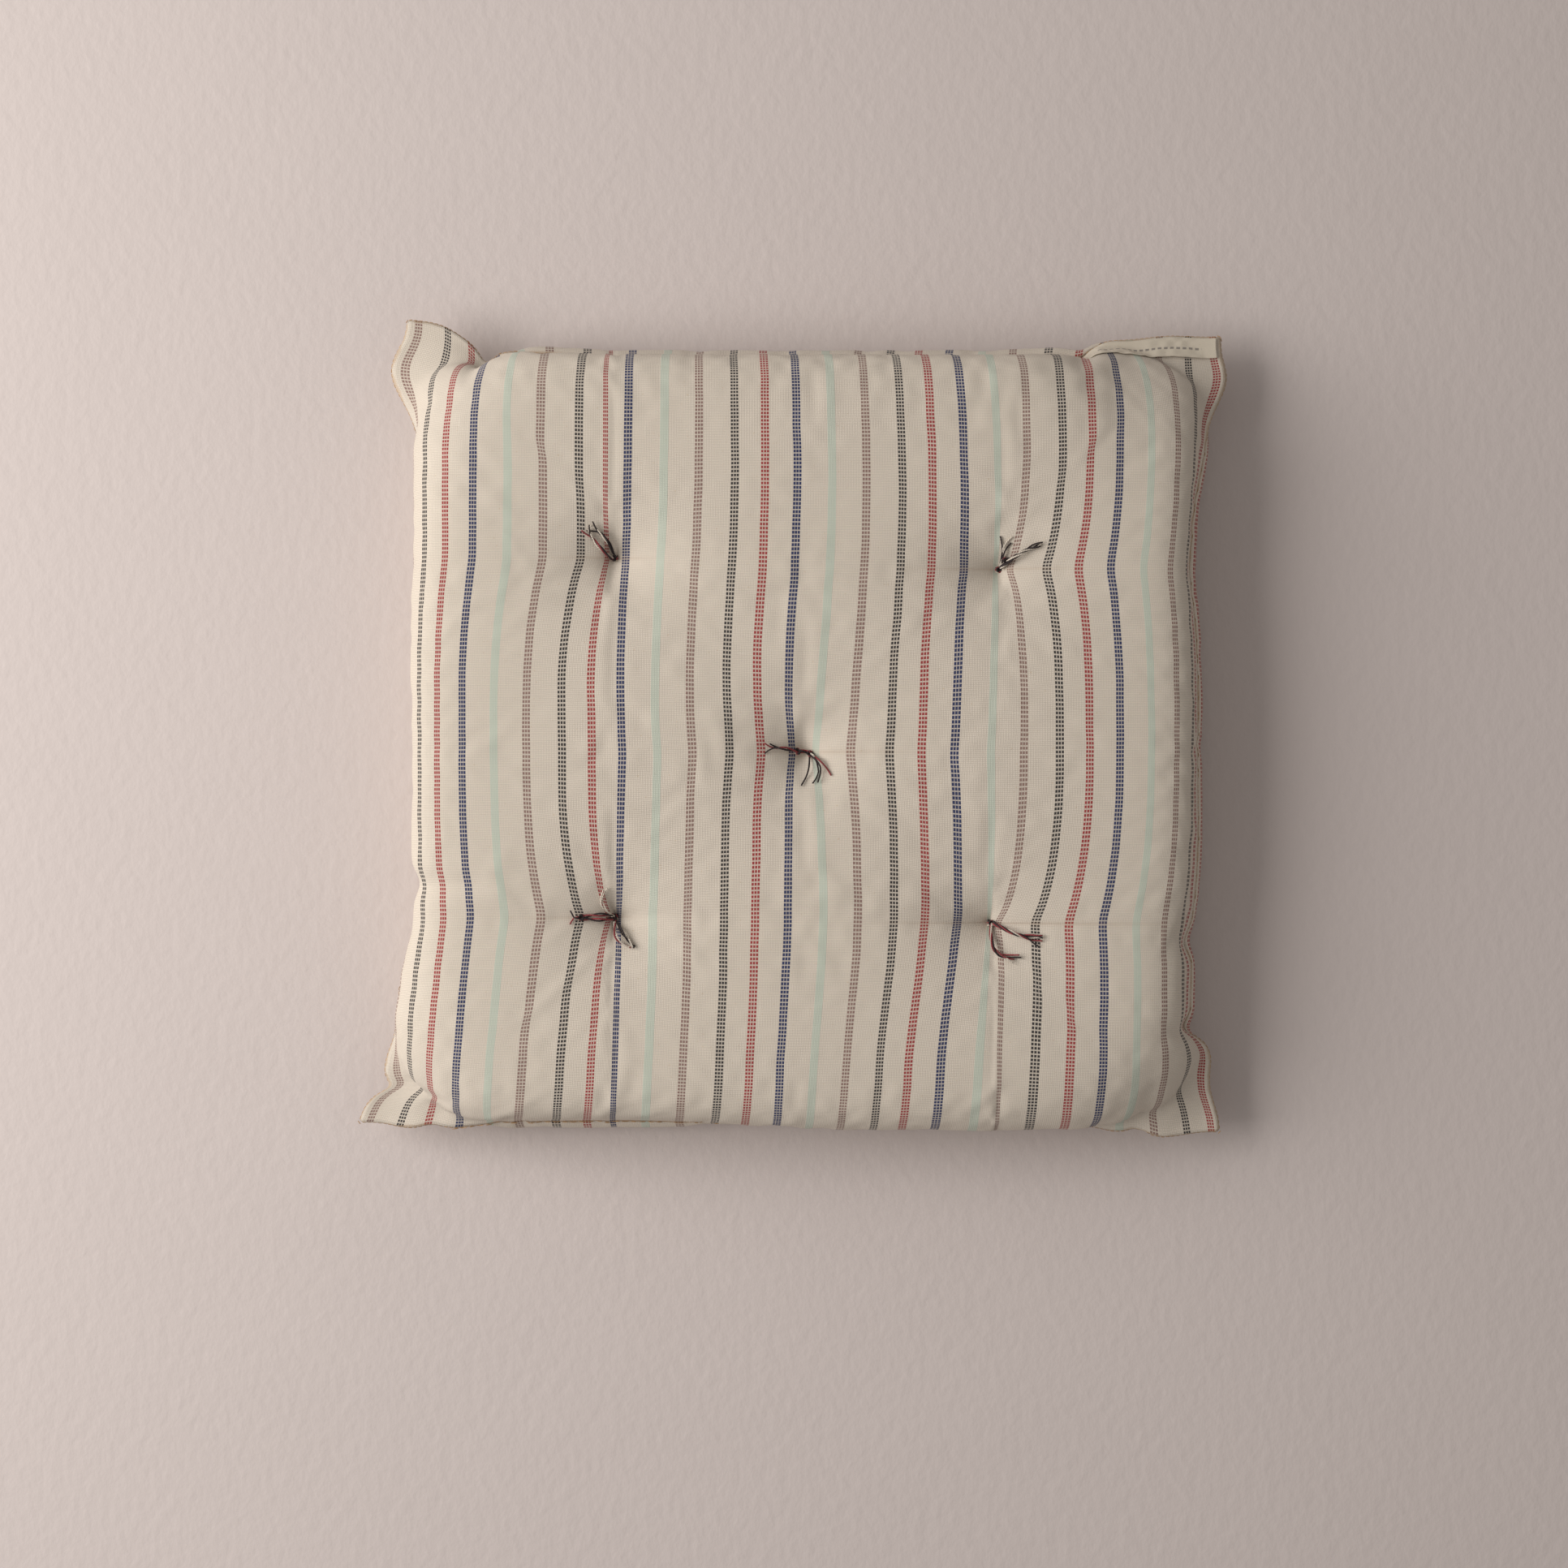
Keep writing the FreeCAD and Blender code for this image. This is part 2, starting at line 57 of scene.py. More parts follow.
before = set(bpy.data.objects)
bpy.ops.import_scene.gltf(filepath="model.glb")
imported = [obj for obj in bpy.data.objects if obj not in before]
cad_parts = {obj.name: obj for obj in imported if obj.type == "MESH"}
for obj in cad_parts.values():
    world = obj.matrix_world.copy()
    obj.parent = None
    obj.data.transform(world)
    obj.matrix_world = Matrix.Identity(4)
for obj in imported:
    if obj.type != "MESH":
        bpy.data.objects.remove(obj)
CAD_LOW, CAD_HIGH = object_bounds()
SEAM_LEVEL = (CAD_LOW.z + CAD_HIGH.z) / 2
BODY = "root"
MM = 1000.0  # millimetres in a metre
SEAM_ALLOWANCE = 10.0  # millimetres
TOP_SPARE = 0.0055  # how far the top may swell past the CAD box
SEAM_GAP = 0.0018  # least distance between the two panels
HOLD_OPEN, HOLD_CORNER, HOLD_SEAM = 0.30, 0.45, 0.62  # how firmly the form holds the cloth
PAD_CELLS = 72
PAD_REACH = 0.952  # share of a panel that the pad reaches out to
PAD_COVER = 0.0020  # space between the pad and the cloth
PAD_BEHIND_SEAM = 0.0030
PAD_ROUNDING = 0.16  # how far the pad's corners draw back from the ears
PAD_BACK_OFF = 0.0065  # share that the pad gives way for each millimetre of a pucker
DIAGONAL_EXCESS = 0.4142  # how much longer a diagonal is than a side
VIEW_MIDDLE = (-0.0053, -0.0295, 0.045)  # what the camera looks at
HUMP_DEPTH = 9.0  # millimetres inside the seam where a side swells most
PUCKER_REACH = 16.0  # millimetres
CLIMB_POWER = 1.15  # how square the shoulder of a side is
LEAST_RISE = 0.5  # least height above the seam, in millimetres
FRAY_FROM = 0.62  # share of a tail after which its strands part
STEPS_OF_TAIL, STEPS_OF_KNOT = 30, 36


# ---------------------------------------------------------------- sizes and colours


def length(name, text, default):
    return FloatProperty(
        name=name, description=text, default=default, unit="LENGTH", precision=5
    )


def colour(name, text, default):
    return FloatVectorProperty(
        name=name, description=text, default=default, subtype="COLOR", size=3
    )


def number(name, text, default, **kind):
    return FloatProperty(name=name, description=text, default=default, **kind)


class CushionCasingSizes(bpy.types.PropertyGroup):
    """Sizes of the sewn casing and the way that its filling holds it"""

    cells: IntProperty(name="Cells", description="Squares of cloth along a side", default=96)
    cloth_span: length("Cloth span", "Width of a panel from seam to seam, as stretched", 0.480)
    cut_side: length("Cut side", "Side that a panel is cut to, with its seam allowances", 0.470)
    cloth: length("Cloth", "Thickness of the woven cotton", 0.0008)
    corner: length("Corner", "Radius of the filling at a corner", 0.088)
    side_take_up: length("Side take-up", "Cloth that goes into the height of a side", 0.034)
    side_reach: length("Side reach", "How quickly a side turns into the top", 0.025)
    half_rise: length("Half rise", "Height of the top above the seam", 0.0335)
    rise_reach: length("Rise reach", "How quickly the side climbs", 0.0195)
    side_bulge: length("Side bulge", "How far the fuller face swells past the seam", 0.0035)
    side_bow: length("Side bow", "Inward bow of a side between its corners", 0.004)
    dimple: length("Dimple", "Depth of a dimple under its tie", 0.019)
    dimple_reach: length("Dimple reach", "How far a dimple spreads", 0.021)
    pressure: number("Pressure", "Push of the filling on the cloth", 2.5)
    slack: number("Slack", "Share of spare cloth", 0.018, subtype="FACTOR")
    steps: IntProperty(name="Steps", description="Steps of the cloth simulation", default=24)


class CushionClothColours(bpy.types.PropertyGroup):
    """Stripes and colours of the woven cotton"""

    period: length("Period", "Width of one set of five stripes", 0.0814)
    first: length("First stripe", "Middle of the first stripe from the seam", 0.006)
    end: length("End", "Distance between neighbouring ends in a stripe", 0.00139)
    dash: length("Dash", "Length of one float and the gap after it", 0.00203)
    cream: colour("Cream", "Ground of the cloth", (0.715, 0.632, 0.530))
    taupe: colour("Taupe", "First stripe", (0.235, 0.125, 0.105))
    black: colour("Black", "Second stripe", (0.024, 0.022, 0.024))
    red: colour("Red", "Third stripe", (0.350, 0.030, 0.034))
    blue: colour("Blue", "Fourth stripe", (0.024, 0.036, 0.110))
    aqua: colour("Aqua", "Fifth stripe", (0.430, 0.600, 0.500))
    # Besides the thread, this colour paints the tan shade in the seam groove on the cloth.
    seam: colour("Seam", "Thread of the seams", (0.500, 0.300, 0.140))
    fibre: colour("Fibre", "Cotton fibre of the filling", (0.780, 0.740, 0.660))
    label: colour("Label", "Cotton tape of the label", (0.700, 0.620, 0.500))
    mark: colour("Mark", "Woven line along the label", (0.180, 0.160, 0.150))


class CushionTrimSizes(bpy.types.PropertyGroup):
    """Sizes of the stitches, the label and the ties"""

    stitch: length("Stitch", "Length of a machine stitch", 0.0028)
    thread: length("Thread", "Thickness of the sewing thread", 0.0004)
    hand_stitch: length("Hand stitch", "Length of a stitch in the closed opening", 0.0045)
    label_length: length("Label length", "Length of the label", 0.075)
    label_depth: length("Label depth", "Depth of the label", 0.0108)
    label_cloth: length("Label cloth", "Thickness of the label", 0.0004)
    strand: length("Strand", "Thickness of one strand of yarn", 0.00100)
    knot: length("Knot", "Radius of a knot", 0.0021)
    leg_span: length("Leg span", "Distance between the two legs of a tie", 0.0032)
    cream: colour("Cream yarn", "Pale strands", (0.760, 0.670, 0.560))
    crimson: colour("Crimson yarn", "Red strands", (0.340, 0.055, 0.062))
    black: colour("Black yarn", "Dark strands", (0.036, 0.024, 0.024))


class CushionStageSizes(bpy.types.PropertyGroup):
    """Floor, light and camera"""

    floor: colour("Floor", "Pale matt floor", (0.640, 0.567, 0.538))
    lens: number("Lens", "Focal length in millimetres", 85.0)
    view: length("View", "Width that the camera takes in", 0.821)
    key: number("Key", "Power of the soft light", 38.5, unit="POWER")
    fill: number("Fill", "Strength of the light from all round", 0.31)


# ---------------------------------------------------------------- form of the casing

# Ties as (name, right, up, draw, carry): place from the middle of the frame and draw on the
# cloth in millimetres, and the share of the draw that carries on to the nearer edge.
TIES = (
    ("middle", 5.0, -13.0, 5.5, 0.0),
    ("top_right", 107.0, 82.5, 14.0, 0.1),
    ("top_left", -94.0, 88.5, 10.5, 0.75),
    ("bottom_left", -94.0, -99.0, 15.5, 0.35),
    ("bottom_right", 103.0, -102.0, 18.0, 0.6),
)
# How far the crease of each tie reaches to its left and its right, in millimetres.
CREASES = {
    "middle": (34.0, 70.0),
    "top_right": (60.0, 62.0),
    "top_left": (44.0, 30.0),
    "bottom_left": (64.0, 26.0),
    "bottom_right": (92.0, 128.0),
}
# Middle of the finished cushion in the frame, in millimetres.
MIDDLE = (8.0, -3.4)
# How each ear lies: corner (x, y), draw of its tip (x, y), draw of its upper or lower side,
# draw of its left or right side, and droop, in millimetres.
EARS = (
    (-1, 1, 7.0, 2.0, -11.0, -6.0, 3.0),
    (1, 1, 1.0, -6.5, -1.5, 3.0, 6.0),
    (-1, -1, -10.0, 12.0, 1.0, 7.5, 8.0),
    (1, -1, 11.0, 7.0, 0.0, -4.0, 6.5),
)
# Puckers in the seam: side (x, y), place along it from -1 to 1, and depth, width and length of
# the crease in millimetres. Where the depth is negative, the side swells between two puckers.
PUCKERS = (
    ((-1, 0), -0.33, 8.5, 5.5, 52.0),
    ((1, 0), -0.455, 4.0, 7.0, 30.0),
    ((1, 0), -0.655, 5.5, 7.0, 26.0),
    ((0, 1), -0.79, 7.0, 5.0, 20.0),
    ((0, 1), 0.615, 4.0, 6.0, 34.0),
    ((0, -1), 0.80, 4.0, 7.0, 22.0),
    ((0, -1), 0.45, -2.5, 22.0, 10.0),
    ((0, -1), -0.82, 3.0, 8.0, 20.0),
    ((-1, 0), -0.87, 4.5, 7.0, 22.0),
    ((0, 1), 0.70, -3.8, 16.0, 1.0),
    ((1, 0), -0.40, -5.8, 75.0, 1.0),
    ((1, 0), -0.735, -4.5, 15.0, 1.0),
    ((1, 0), 0.15, -3.4, 70.0, 1.0),
    ((1, 0), 0.64, -5.0, 26.0, 1.0),
    ((-1, 0), -0.58, -7.5, 34.0, 1.0),
    ((-1, 0), 0.36, -3.0, 60.0, 1.0),
    ((0, -1), 0.0, -2.6, 150.0, 1.0),
)


def bell(value, width):
    """Falls smoothly from 1 at 0 to next to nothing at twice the width."""
    return np.exp(-((value / width) ** 2))


def fade(value):
    """Rises smoothly from 0 at -1 to 1 at 1."""
    t = np.clip((value + 1) / 2, 0, 1)
    return t * t * (3 - 2 * t)


def turned_in(across, along, half, corner):
    """How deep each place lies inside the seam, and which way the nearest side faces."""
    x, y = across * half, along * half
    past_x, past_y = np.abs(x) - (half - corner), np.abs(y) - (half - corner)
    both = (past_x > 0) & (past_y > 0)
    radius = np.maximum(np.hypot(past_x, past_y), 1e-6)
    inside = corner - np.where(both, radius, np.maximum(past_x, past_y))
    turn_x = np.where(both, past_x / radius, (past_x >= past_y) * 1.0) * np.sign(x)
    turn_y = np.where(both, past_y / radius, (past_x < past_y) * 1.0) * np.sign(y)
    return np.maximum(inside, 0.0), turn_x, turn_y


def pucker_seam(u, v, z, across, along, half, depth, turn_x, turn_y):
    """Draws the seam in at each pucker, with a short crease above and below it."""
    for (side_x, side_y), place, notch, width, crease in PUCKERS:
        run = (along if side_x else across) * half - place * half
        on_side = (turn_x * side_x + turn_y * side_y) > 0.5
        bite = bell(run, width) * on_side
        u -= side_x * notch * bite * np.exp(-depth / PUCKER_REACH)
        v -= side_y * notch * bite * np.exp(-depth / PUCKER_REACH)
        z -= 0.7 * notch * bite * bell(depth, crease) * (1 - np.exp(-depth / 6.0))
    return u, v, z


def lay_ears(u, v, x, y, half):
    """Bends the four flat ears and the sides next to them, and gives their droop."""
    droop = np.zeros_like(x)
    for side_x, side_y, move_x, move_y, slope, swing, sag in EARS:
        off_x, off_y = x - side_x * half, y - side_y * half
        away = np.hypot(off_x, off_y)
        near = bell(away, 55.0)
        flank = bell(np.abs(off_x) - 48.0, 22.0) * bell(off_y, 30.0)
        side = bell(np.abs(off_y) - 34.0, 20.0) * bell(off_x, 30.0)
        u, v = u + move_x * near + swing * side, v + move_y * near + slope * flank
        droop += sag * bell(away, 42.0)
    return u, v, droop


def lean_stripes(u, x, y, across, along, half):
    """Moves the cloth sideways where its stripes lean or gather between the ties."""
    u -= 8.5 * np.maximum(-along, 0) ** 1.7
    top_gather = np.exp(-np.abs(half - y) / 55.0)
    u -= 7.0 * np.tanh(x / 110.0) * top_gather * (np.abs(x) < half) * (1 - np.abs(across) ** 4)
    inner = (1 - across**2) * (1 - along**4)
    u += 3.4 * inner * fade((along - 0.35) * 4)
    u -= 3.6 * inner * bell(along, 0.33) * fade(-across * 3 + 0.4)
    u -= 6.0 * bell(across - 0.3, 0.26) * fade(-(along + 0.55) * 5)
    return u


def draw_to_ties(u, v, z, edge, sizes):
    """Sinks a dimple at each tie and draws the cloth round it together."""
    sink, reach = sizes.dimple * MM, sizes.dimple_reach * MM
    start_u, start_v = u.copy(), v.copy()
    for name, tie_x, tie_y, draw, carry in TIES:
        off_x, off_y = start_u - tie_x, start_v - tie_y
        away = np.hypot(off_x, off_y)
        row_fall = np.exp(-(((np.sqrt(off_y**2 + 4.0) - 2.0) / 32.0) ** 1.1))
        beyond = off_y * np.sign(tie_y) > 0
        row_fall = np.where(beyond, carry + (1 - carry) * row_fall, row_fall)
        outer = np.sign(tie_x) if name != "middle" else 0.0
        share = 0.58 + 0.42 * outer * np.tanh(off_x / 10.0) if outer else 1.0
        pull_x = share * draw * np.tanh(off_x / 11.0) * np.exp(-np.abs(off_x) / 85.0) * row_fall
        pull_y = 0.5 * draw * np.tanh(off_y / 14.0) * bell(off_y, 70.0) * bell(off_x, 36.0)
        u, v = u - pull_x, v - pull_y
        well = np.exp(-((away / reach) ** 1.05))
        row = 0.24 * draw * np.exp(-np.abs(off_y) / 5.5) * bell(off_x, 75.0)
        column = 0.10 * draw * np.exp(-np.abs(off_x) / 6.0) * bell(off_y, 45.0)
        z -= sink * well + (row + column) * (1 - well) * (1 - edge) ** 2
    return u, v, z


def casing_form(across, along, face, sizes):
    """Places the cloth of one face round its filling: across and along run from -1 to 1."""
    half = sizes.cloth_span * MM / 2
    x, y = across * half, along * half
    depth, turn_x, turn_y = turned_in(across, along, half, sizes.corner * MM)
    diagonal = np.abs(2 * turn_x * turn_y)
    from_x, from_y = half - np.abs(x), half - np.abs(y)
    from_tip = np.hypot(from_x, from_y)
    take = sizes.side_take_up * MM * np.exp(-depth / (sizes.side_reach * MM))
    take *= 1 - 0.24 * bell(from_tip - 40.0, 30.0)
    edge = np.exp(-depth / 45.0)
    lean = 0.9 * np.maximum(turn_x, 0) + 0.8 * np.maximum(turn_y, 0)
    lean -= 0.35 * np.maximum(-turn_x, 0)
    lean += np.maximum(-turn_y, 0) * (0.9 - 1.5 * fade(across * 4 + 0.4))
    hump = depth / HUMP_DEPTH * np.exp(1 - depth / HUMP_DEPTH) * (1 - diagonal)
    take = take + sizes.side_bulge * MM * hump * face * lean
    take_x = take + sizes.side_bow * MM * (1 - along**2) * edge
    take_y = take + sizes.side_bow * MM * (1 - across**2) * edge
    climb = sizes.rise_reach * MM * (1 + 1.5 * bell(from_tip, 72.0))
    z = 1 - np.exp(-((from_x / climb) ** CLIMB_POWER))
    flatter = 1 + 0.9 * bell(x - 172.0, 32.0) * (y > 0)
    z *= sizes.half_rise * MM * (1 - np.exp(-((from_y / climb / flatter) ** CLIMB_POWER)))
    u, v = x - turn_x * take_x, y - turn_y * take_y
    u -= 4.0 * np.exp(-from_x / 60.0) * (x < 0)
    v -= 3.2 * np.exp(-from_y / 60.0) * (y > 0) * (1 - bell(from_tip, 60.0))
    u, v, z = pucker_seam(u, v, z, across, along, half, depth, turn_x, turn_y)
    u, v, droop = lay_ears(u, v, x, y, half)
    u = lean_stripes(u, x, y, across, along, half)
    u, v, z = draw_to_ties(u + MIDDLE[0], v + MIDDLE[1], z, edge, sizes)
    lift = SEAM_LEVEL * MM - droop
    return np.stack([u, v, lift + face * np.maximum(z, LEAST_RISE)], axis=-1) / MM


def casing_grid(cells):
    """Numbers the vertices of both faces, which share those of the seam."""
    front = np.arange((cells + 1) ** 2).reshape(cells + 1, cells + 1)
    back = front.copy()
    inner = (cells - 1) ** 2
    back[1:-1, 1:-1] = (cells + 1) ** 2 + np.arange(inner).reshape(cells - 1, cells - 1)
    return front, back


def quads(grid, turned):
    a, b, c, d = grid[:-1, :-1], grid[1:, :-1], grid[1:, 1:], grid[:-1, 1:]
    order = (a, d, c, b) if turned else (a, b, c, d)
    return np.stack(order, axis=-1).reshape(-1, 4)


def joined(front_grid, back_grid, front, back):
    """Points and faces of a closed shell of two faces that share their rim."""
    points = np.zeros((back_grid.max() + 1, 3))
    points[back_grid.ravel()] = back.reshape(-1, 3)
    points[front_grid.ravel()] = front.reshape(-1, 3)
    return points, np.concatenate([quads(front_grid, False), quads(back_grid, True)])


def new_mesh(name, points, faces, edges=()):
    mesh = bpy.data.meshes.new(name)
    places = [tuple(map(float, point)) for point in points]
    mesh.from_pydata(places, list(edges), [tuple(map(int, face)) for face in faces])
    mesh.update()
    return mesh


def new_piece(name, mesh, material=None):
    piece = bpy.data.objects.new(name, mesh)
    bpy.context.scene.collection.objects.link(piece)
    if material is not None:
        mesh.materials.clear()
        mesh.materials.append(material)
    if hasattr(mesh, "polygons"):
        mesh.polygons.foreach_set("use_smooth", [True] * len(mesh.polygons))
    return piece


def simulate(sizes, points, faces, hold):
    """Lets the cloth settle over its filling and gives back the places of its vertices."""
    mesh = new_mesh("casing_trial", points, faces)
    trial = new_piece("casing_trial", mesh)
    group = trial.vertex_groups.new(name="hold")
    for index, weight in enumerate(hold):
        group.add([index], float(weight), "REPLACE")
    cloth = trial.modifiers.new("Cloth", "CLOTH")
    settings = cloth.settings
    settings.quality = 6
    settings.mass = 0.3
    settings.tension_stiffness = 15
    settings.compression_stiffness = 15
    settings.shear_stiffness = 6
    settings.bending_stiffness = 0.6
    settings.air_damping = 3
    settings.use_pressure = True
    settings.uniform_pressure_force = sizes.pressure
    settings.shrink_min = -sizes.slack
    settings.shrink_max = -sizes.slack
    settings.vertex_group_mass = "hold"
    settings.pin_stiffness = 1.0
    settings.effector_weights.gravity = 0
    cloth.collision_settings.use_collision = False
    scene = bpy.context.scene
    cloth.point_cache.frame_start = 1
    cloth.point_cache.frame_end = sizes.steps
    for step in range(1, sizes.steps + 1):
        scene.frame_set(step)
    settled = trial.evaluated_get(bpy.context.evaluated_depsgraph_get())
    places = np.empty(len(points) * 3, dtype=np.float32)
    settled.data.vertices.foreach_get("co", places)
    scene.frame_set(1)
    bpy.data.objects.remove(trial)
    bpy.data.meshes.remove(mesh)
    return places.reshape(-1, 3).astype(float)


def soft_limit(value, limit, band):
    """Bends values that come near a limit so that none passes it."""
    over = value - (limit - band)
    return np.where(over > 0, limit - band + band * np.tanh(over / band), value)


def settled_casing(sizes):
    """Gives the settled grids of the front and the back face."""
    cells = sizes.cells
    line = np.linspace(-1, 1, cells + 1)
    across, along = np.meshgrid(line, line, indexing="ij")
    front_grid, back_grid = casing_grid(cells)
    front = casing_form(across, along, 1, sizes)
    back = casing_form(across, along, -1, sizes)
    points, faces = joined(front_grid, back_grid, front, back)
    rim = np.maximum(np.abs(across), np.abs(along)) == 1
    middle = (front[..., 2] + back[..., 2]) / 2
    points[front_grid[rim], 2] = middle[rim]
    hold = np.zeros(len(points))
    weight = np.full(across.shape, HOLD_OPEN)
    weight[np.hypot(np.abs(across) - 1, np.abs(along) - 1) < 0.25] = HOLD_CORNER
    weight[rim] = HOLD_SEAM
    for _, tie_x, tie_y, _, _ in TIES:
        off_x, off_y = front[..., 0] * MM - tie_x, front[..., 1] * MM - tie_y
        away = np.hypot(off_x, off_y)
        weight = np.maximum(weight, bell(away, 7.0))
        row = bell(off_y, 9.0) * bell(away, 90.0)
        weight = np.maximum(weight, HOLD_OPEN + 0.3 * row)
    hold[back_grid.ravel()] = weight.ravel()
    hold[front_grid.ravel()] = weight.ravel()
    points = simulate(sizes, points, faces, hold)
    front, back = points[front_grid], points[back_grid]
    front[..., 2] = soft_limit(front[..., 2], CAD_HIGH.z + TOP_SPARE, 0.006)
    back[..., 2] = -soft_limit(-back[..., 2], -CAD_LOW.z, 0.004)
    apart = np.maximum(front[..., 2] - back[..., 2], 0)
    spare = np.maximum(SEAM_GAP - apart, 0) / 2
    front[..., 2] += spare
    back[..., 2] -= spare
    return front, back


def surface(grid, across, along):
    """Reads a place on a settled face at any point of its cloth."""
    cells = grid.shape[0] - 1
    a = (np.clip(across, -1, 1) + 1) / 2 * cells
    b = (np.clip(along, -1, 1) + 1) / 2 * cells
    i, j = np.minimum(a.astype(int), cells - 1), np.minimum(b.astype(int), cells - 1)
    s, t = (a - i)[..., None], (b - j)[..., None]
    low = grid[i, j] * (1 - s) + grid[i + 1, j] * s
    high = grid[i, j + 1] * (1 - s) + grid[i + 1, j + 1] * s
    return low * (1 - t) + high * t


def keep_behind_seam(points, front, across, along):
    """Draws the pad in where it would reach past the groove of the seam."""
    for axis in (0, 1):
        for side in (-1, 1):
            at = np.full_like(across, side)
            seam = surface(front, at, along) if axis == 0 else surface(front, across, at)
            off_seam = np.abs(points[..., 2] - seam[..., 2])
            limit = seam[..., axis] * side - PAD_BEHIND_SEAM
            limit += np.maximum(off_seam - PAD_BEHIND_SEAM, 0) * 0.8
            points[..., axis] = side * np.minimum(points[..., axis] * side, limit)


def places_of_ties(front):
    """Where each tie goes through, as shares of the cloth, and the reach of its crease."""
    line = np.linspace(-1, 1, 8 * (front.shape[0] - 1) + 1)
    across, along = np.meshgrid(line, line, indexing="ij")
    fine = surface(front, across, along)[..., :2] * MM
    places = []
    for name, tie_x, tie_y, _, _ in TIES:
        at = np.argmin(np.hypot(fine[..., 0] - tie_x, fine[..., 1] - tie_y))
        share = (across.ravel()[at] + 1) / 2, (along.ravel()[at] + 1) / 2
        places.append((float(share[0]), float(share[1]), *CREASES[name]))
    return places


def run_along(path):
    """Distance along a path to each of its points."""
    return np.concatenate([[0.0], np.cumsum(np.linalg.norm(np.diff(path, axis=0), axis=1))])


def face_normals(grid):
    """Upward unit normals of a settled face."""
    run = np.cross(np.gradient(grid, axis=0), np.gradient(grid, axis=1))
    return run / np.maximum(np.linalg.norm(run, axis=-1, keepdims=True), 1e-12)


def face_grid(name):
    """Reads back the settled grid of a made panel."""
    mesh = bpy.data.objects[name].data
    side = int(round(math.sqrt(len(mesh.vertices))))
    places = np.empty(len(mesh.vertices) * 3, dtype=np.float32)
    mesh.vertices.foreach_get("co", places)
    return places.reshape(side, side, 3).astype(float)


def set_map(mesh, name, values):
    """Writes a UV map from one pair of numbers for each vertex."""
    layer = mesh.uv_layers.new(name=name)
    corner = np.empty(len(mesh.loops), dtype=np.int32)
    mesh.loops.foreach_get("vertex_index", corner)
    layer.data.foreach_set("uv", np.asarray(values, dtype=np.float32)[corner].ravel())


# ---------------------------------------------------------------- nodes


class Wires:
    """Adds nodes to a tree and joins them.

    A number or a colour that stands in place of a socket is set on the input itself.
    """

    def __init__(self, tree):
        self.tree = tree

    def put(self, socket, value):
        if isinstance(value, bpy.types.NodeSocket):
            self.tree.links.new(value, socket)
        elif hasattr(value, "__len__") and len(value) == 3 and socket.type == "RGBA":
            socket.default_value = (*value, 1.0)
        else:
            socket.default_value = value

    def node(self, kind, inputs=None, **settings):
        node = self.tree.nodes.new(kind)
        for key, value in settings.items():
            setattr(node, key, value)
        for key, value in (inputs or {}).items():
            self.put(node.inputs[key], value)
        return node

    def math(self, operation, *values):
        node = self.node("ShaderNodeMath", operation=operation)
        for socket, value in zip(node.inputs, values):
            self.put(socket, value)
        return node.outputs[0]

    def plus(self, first, second):
        return self.math("ADD", first, second)

    def minus(self, first, second):
        return self.math("SUBTRACT", first, second)

    def times(self, first, second):
        return self.math("MULTIPLY", first, second)

    def over(self, first, second):
        return self.math("DIVIDE", first, second)

    def linear(self, value, slope, start):
        return self.math("MULTIPLY_ADD", value, slope, start)

    def absolute(self, value):
        return self.math("ABSOLUTE", value)

    def ridges(self, value):
        """Rounded ridges, one for each whole number."""
        return self.absolute(self.math("SINE", self.times(value, math.pi)))

    def off_middle(self, value, pitch):
        """How far a value is from the middle of its own cell, from 0 to a half."""
        return self.absolute(self.minus(self.math("FRACT", self.over(value, pitch)), 0.5))

    def step(self, value, low, high):
        """Rises smoothly from 0 at the low value to 1 at the high one."""
        node = self.node("ShaderNodeMapRange", interpolation_type="SMOOTHSTEP")
        for key, number in (("Value", value), ("From Min", low), ("From Max", high)):
            self.put(node.inputs[key], number)
        return node.outputs["Result"]

    def mix(self, factor, first, second, blend="MIX"):
        node = self.node("ShaderNodeMix", data_type="RGBA", blend_type=blend)
        self.put(node.inputs[0], factor)
        self.put(node.inputs[6], first)
        self.put(node.inputs[7], second)
        return node.outputs[2]

    def noise(self, vector, detail=2.0):
        inputs = {"Vector": vector, "Scale": 1.0, "Detail": detail}
        return self.node("ShaderNodeTexNoise", inputs).outputs["Fac"]

    def split(self, vector):
        return self.node("ShaderNodeSeparateXYZ", {0: vector}).outputs

    def join(self, x=0.0, y=0.0, z=0.0):
        return self.node("ShaderNodeCombineXYZ", {0: x, 1: y, 2: z}).outputs[0]

    def lit(self, colour, light):
        """Multiplies a colour by one brightness."""
        return self.mix(1.0, colour, self.join(light, light, light), "MULTIPLY")

    def scaled(self, vector, *scale):
        node = self.node("ShaderNodeVectorMath", {0: vector, 1: scale}, operation="MULTIPLY")
        return node.outputs[0]

    def object_place(self):
        """Place on the piece in millimetres."""
        return self.scaled(self.node("ShaderNodeTexCoord").outputs["Object"], MM, MM, MM)

    def group(self, tree, values):
        return self.node("ShaderNodeGroup", values, node_tree=tree).outputs


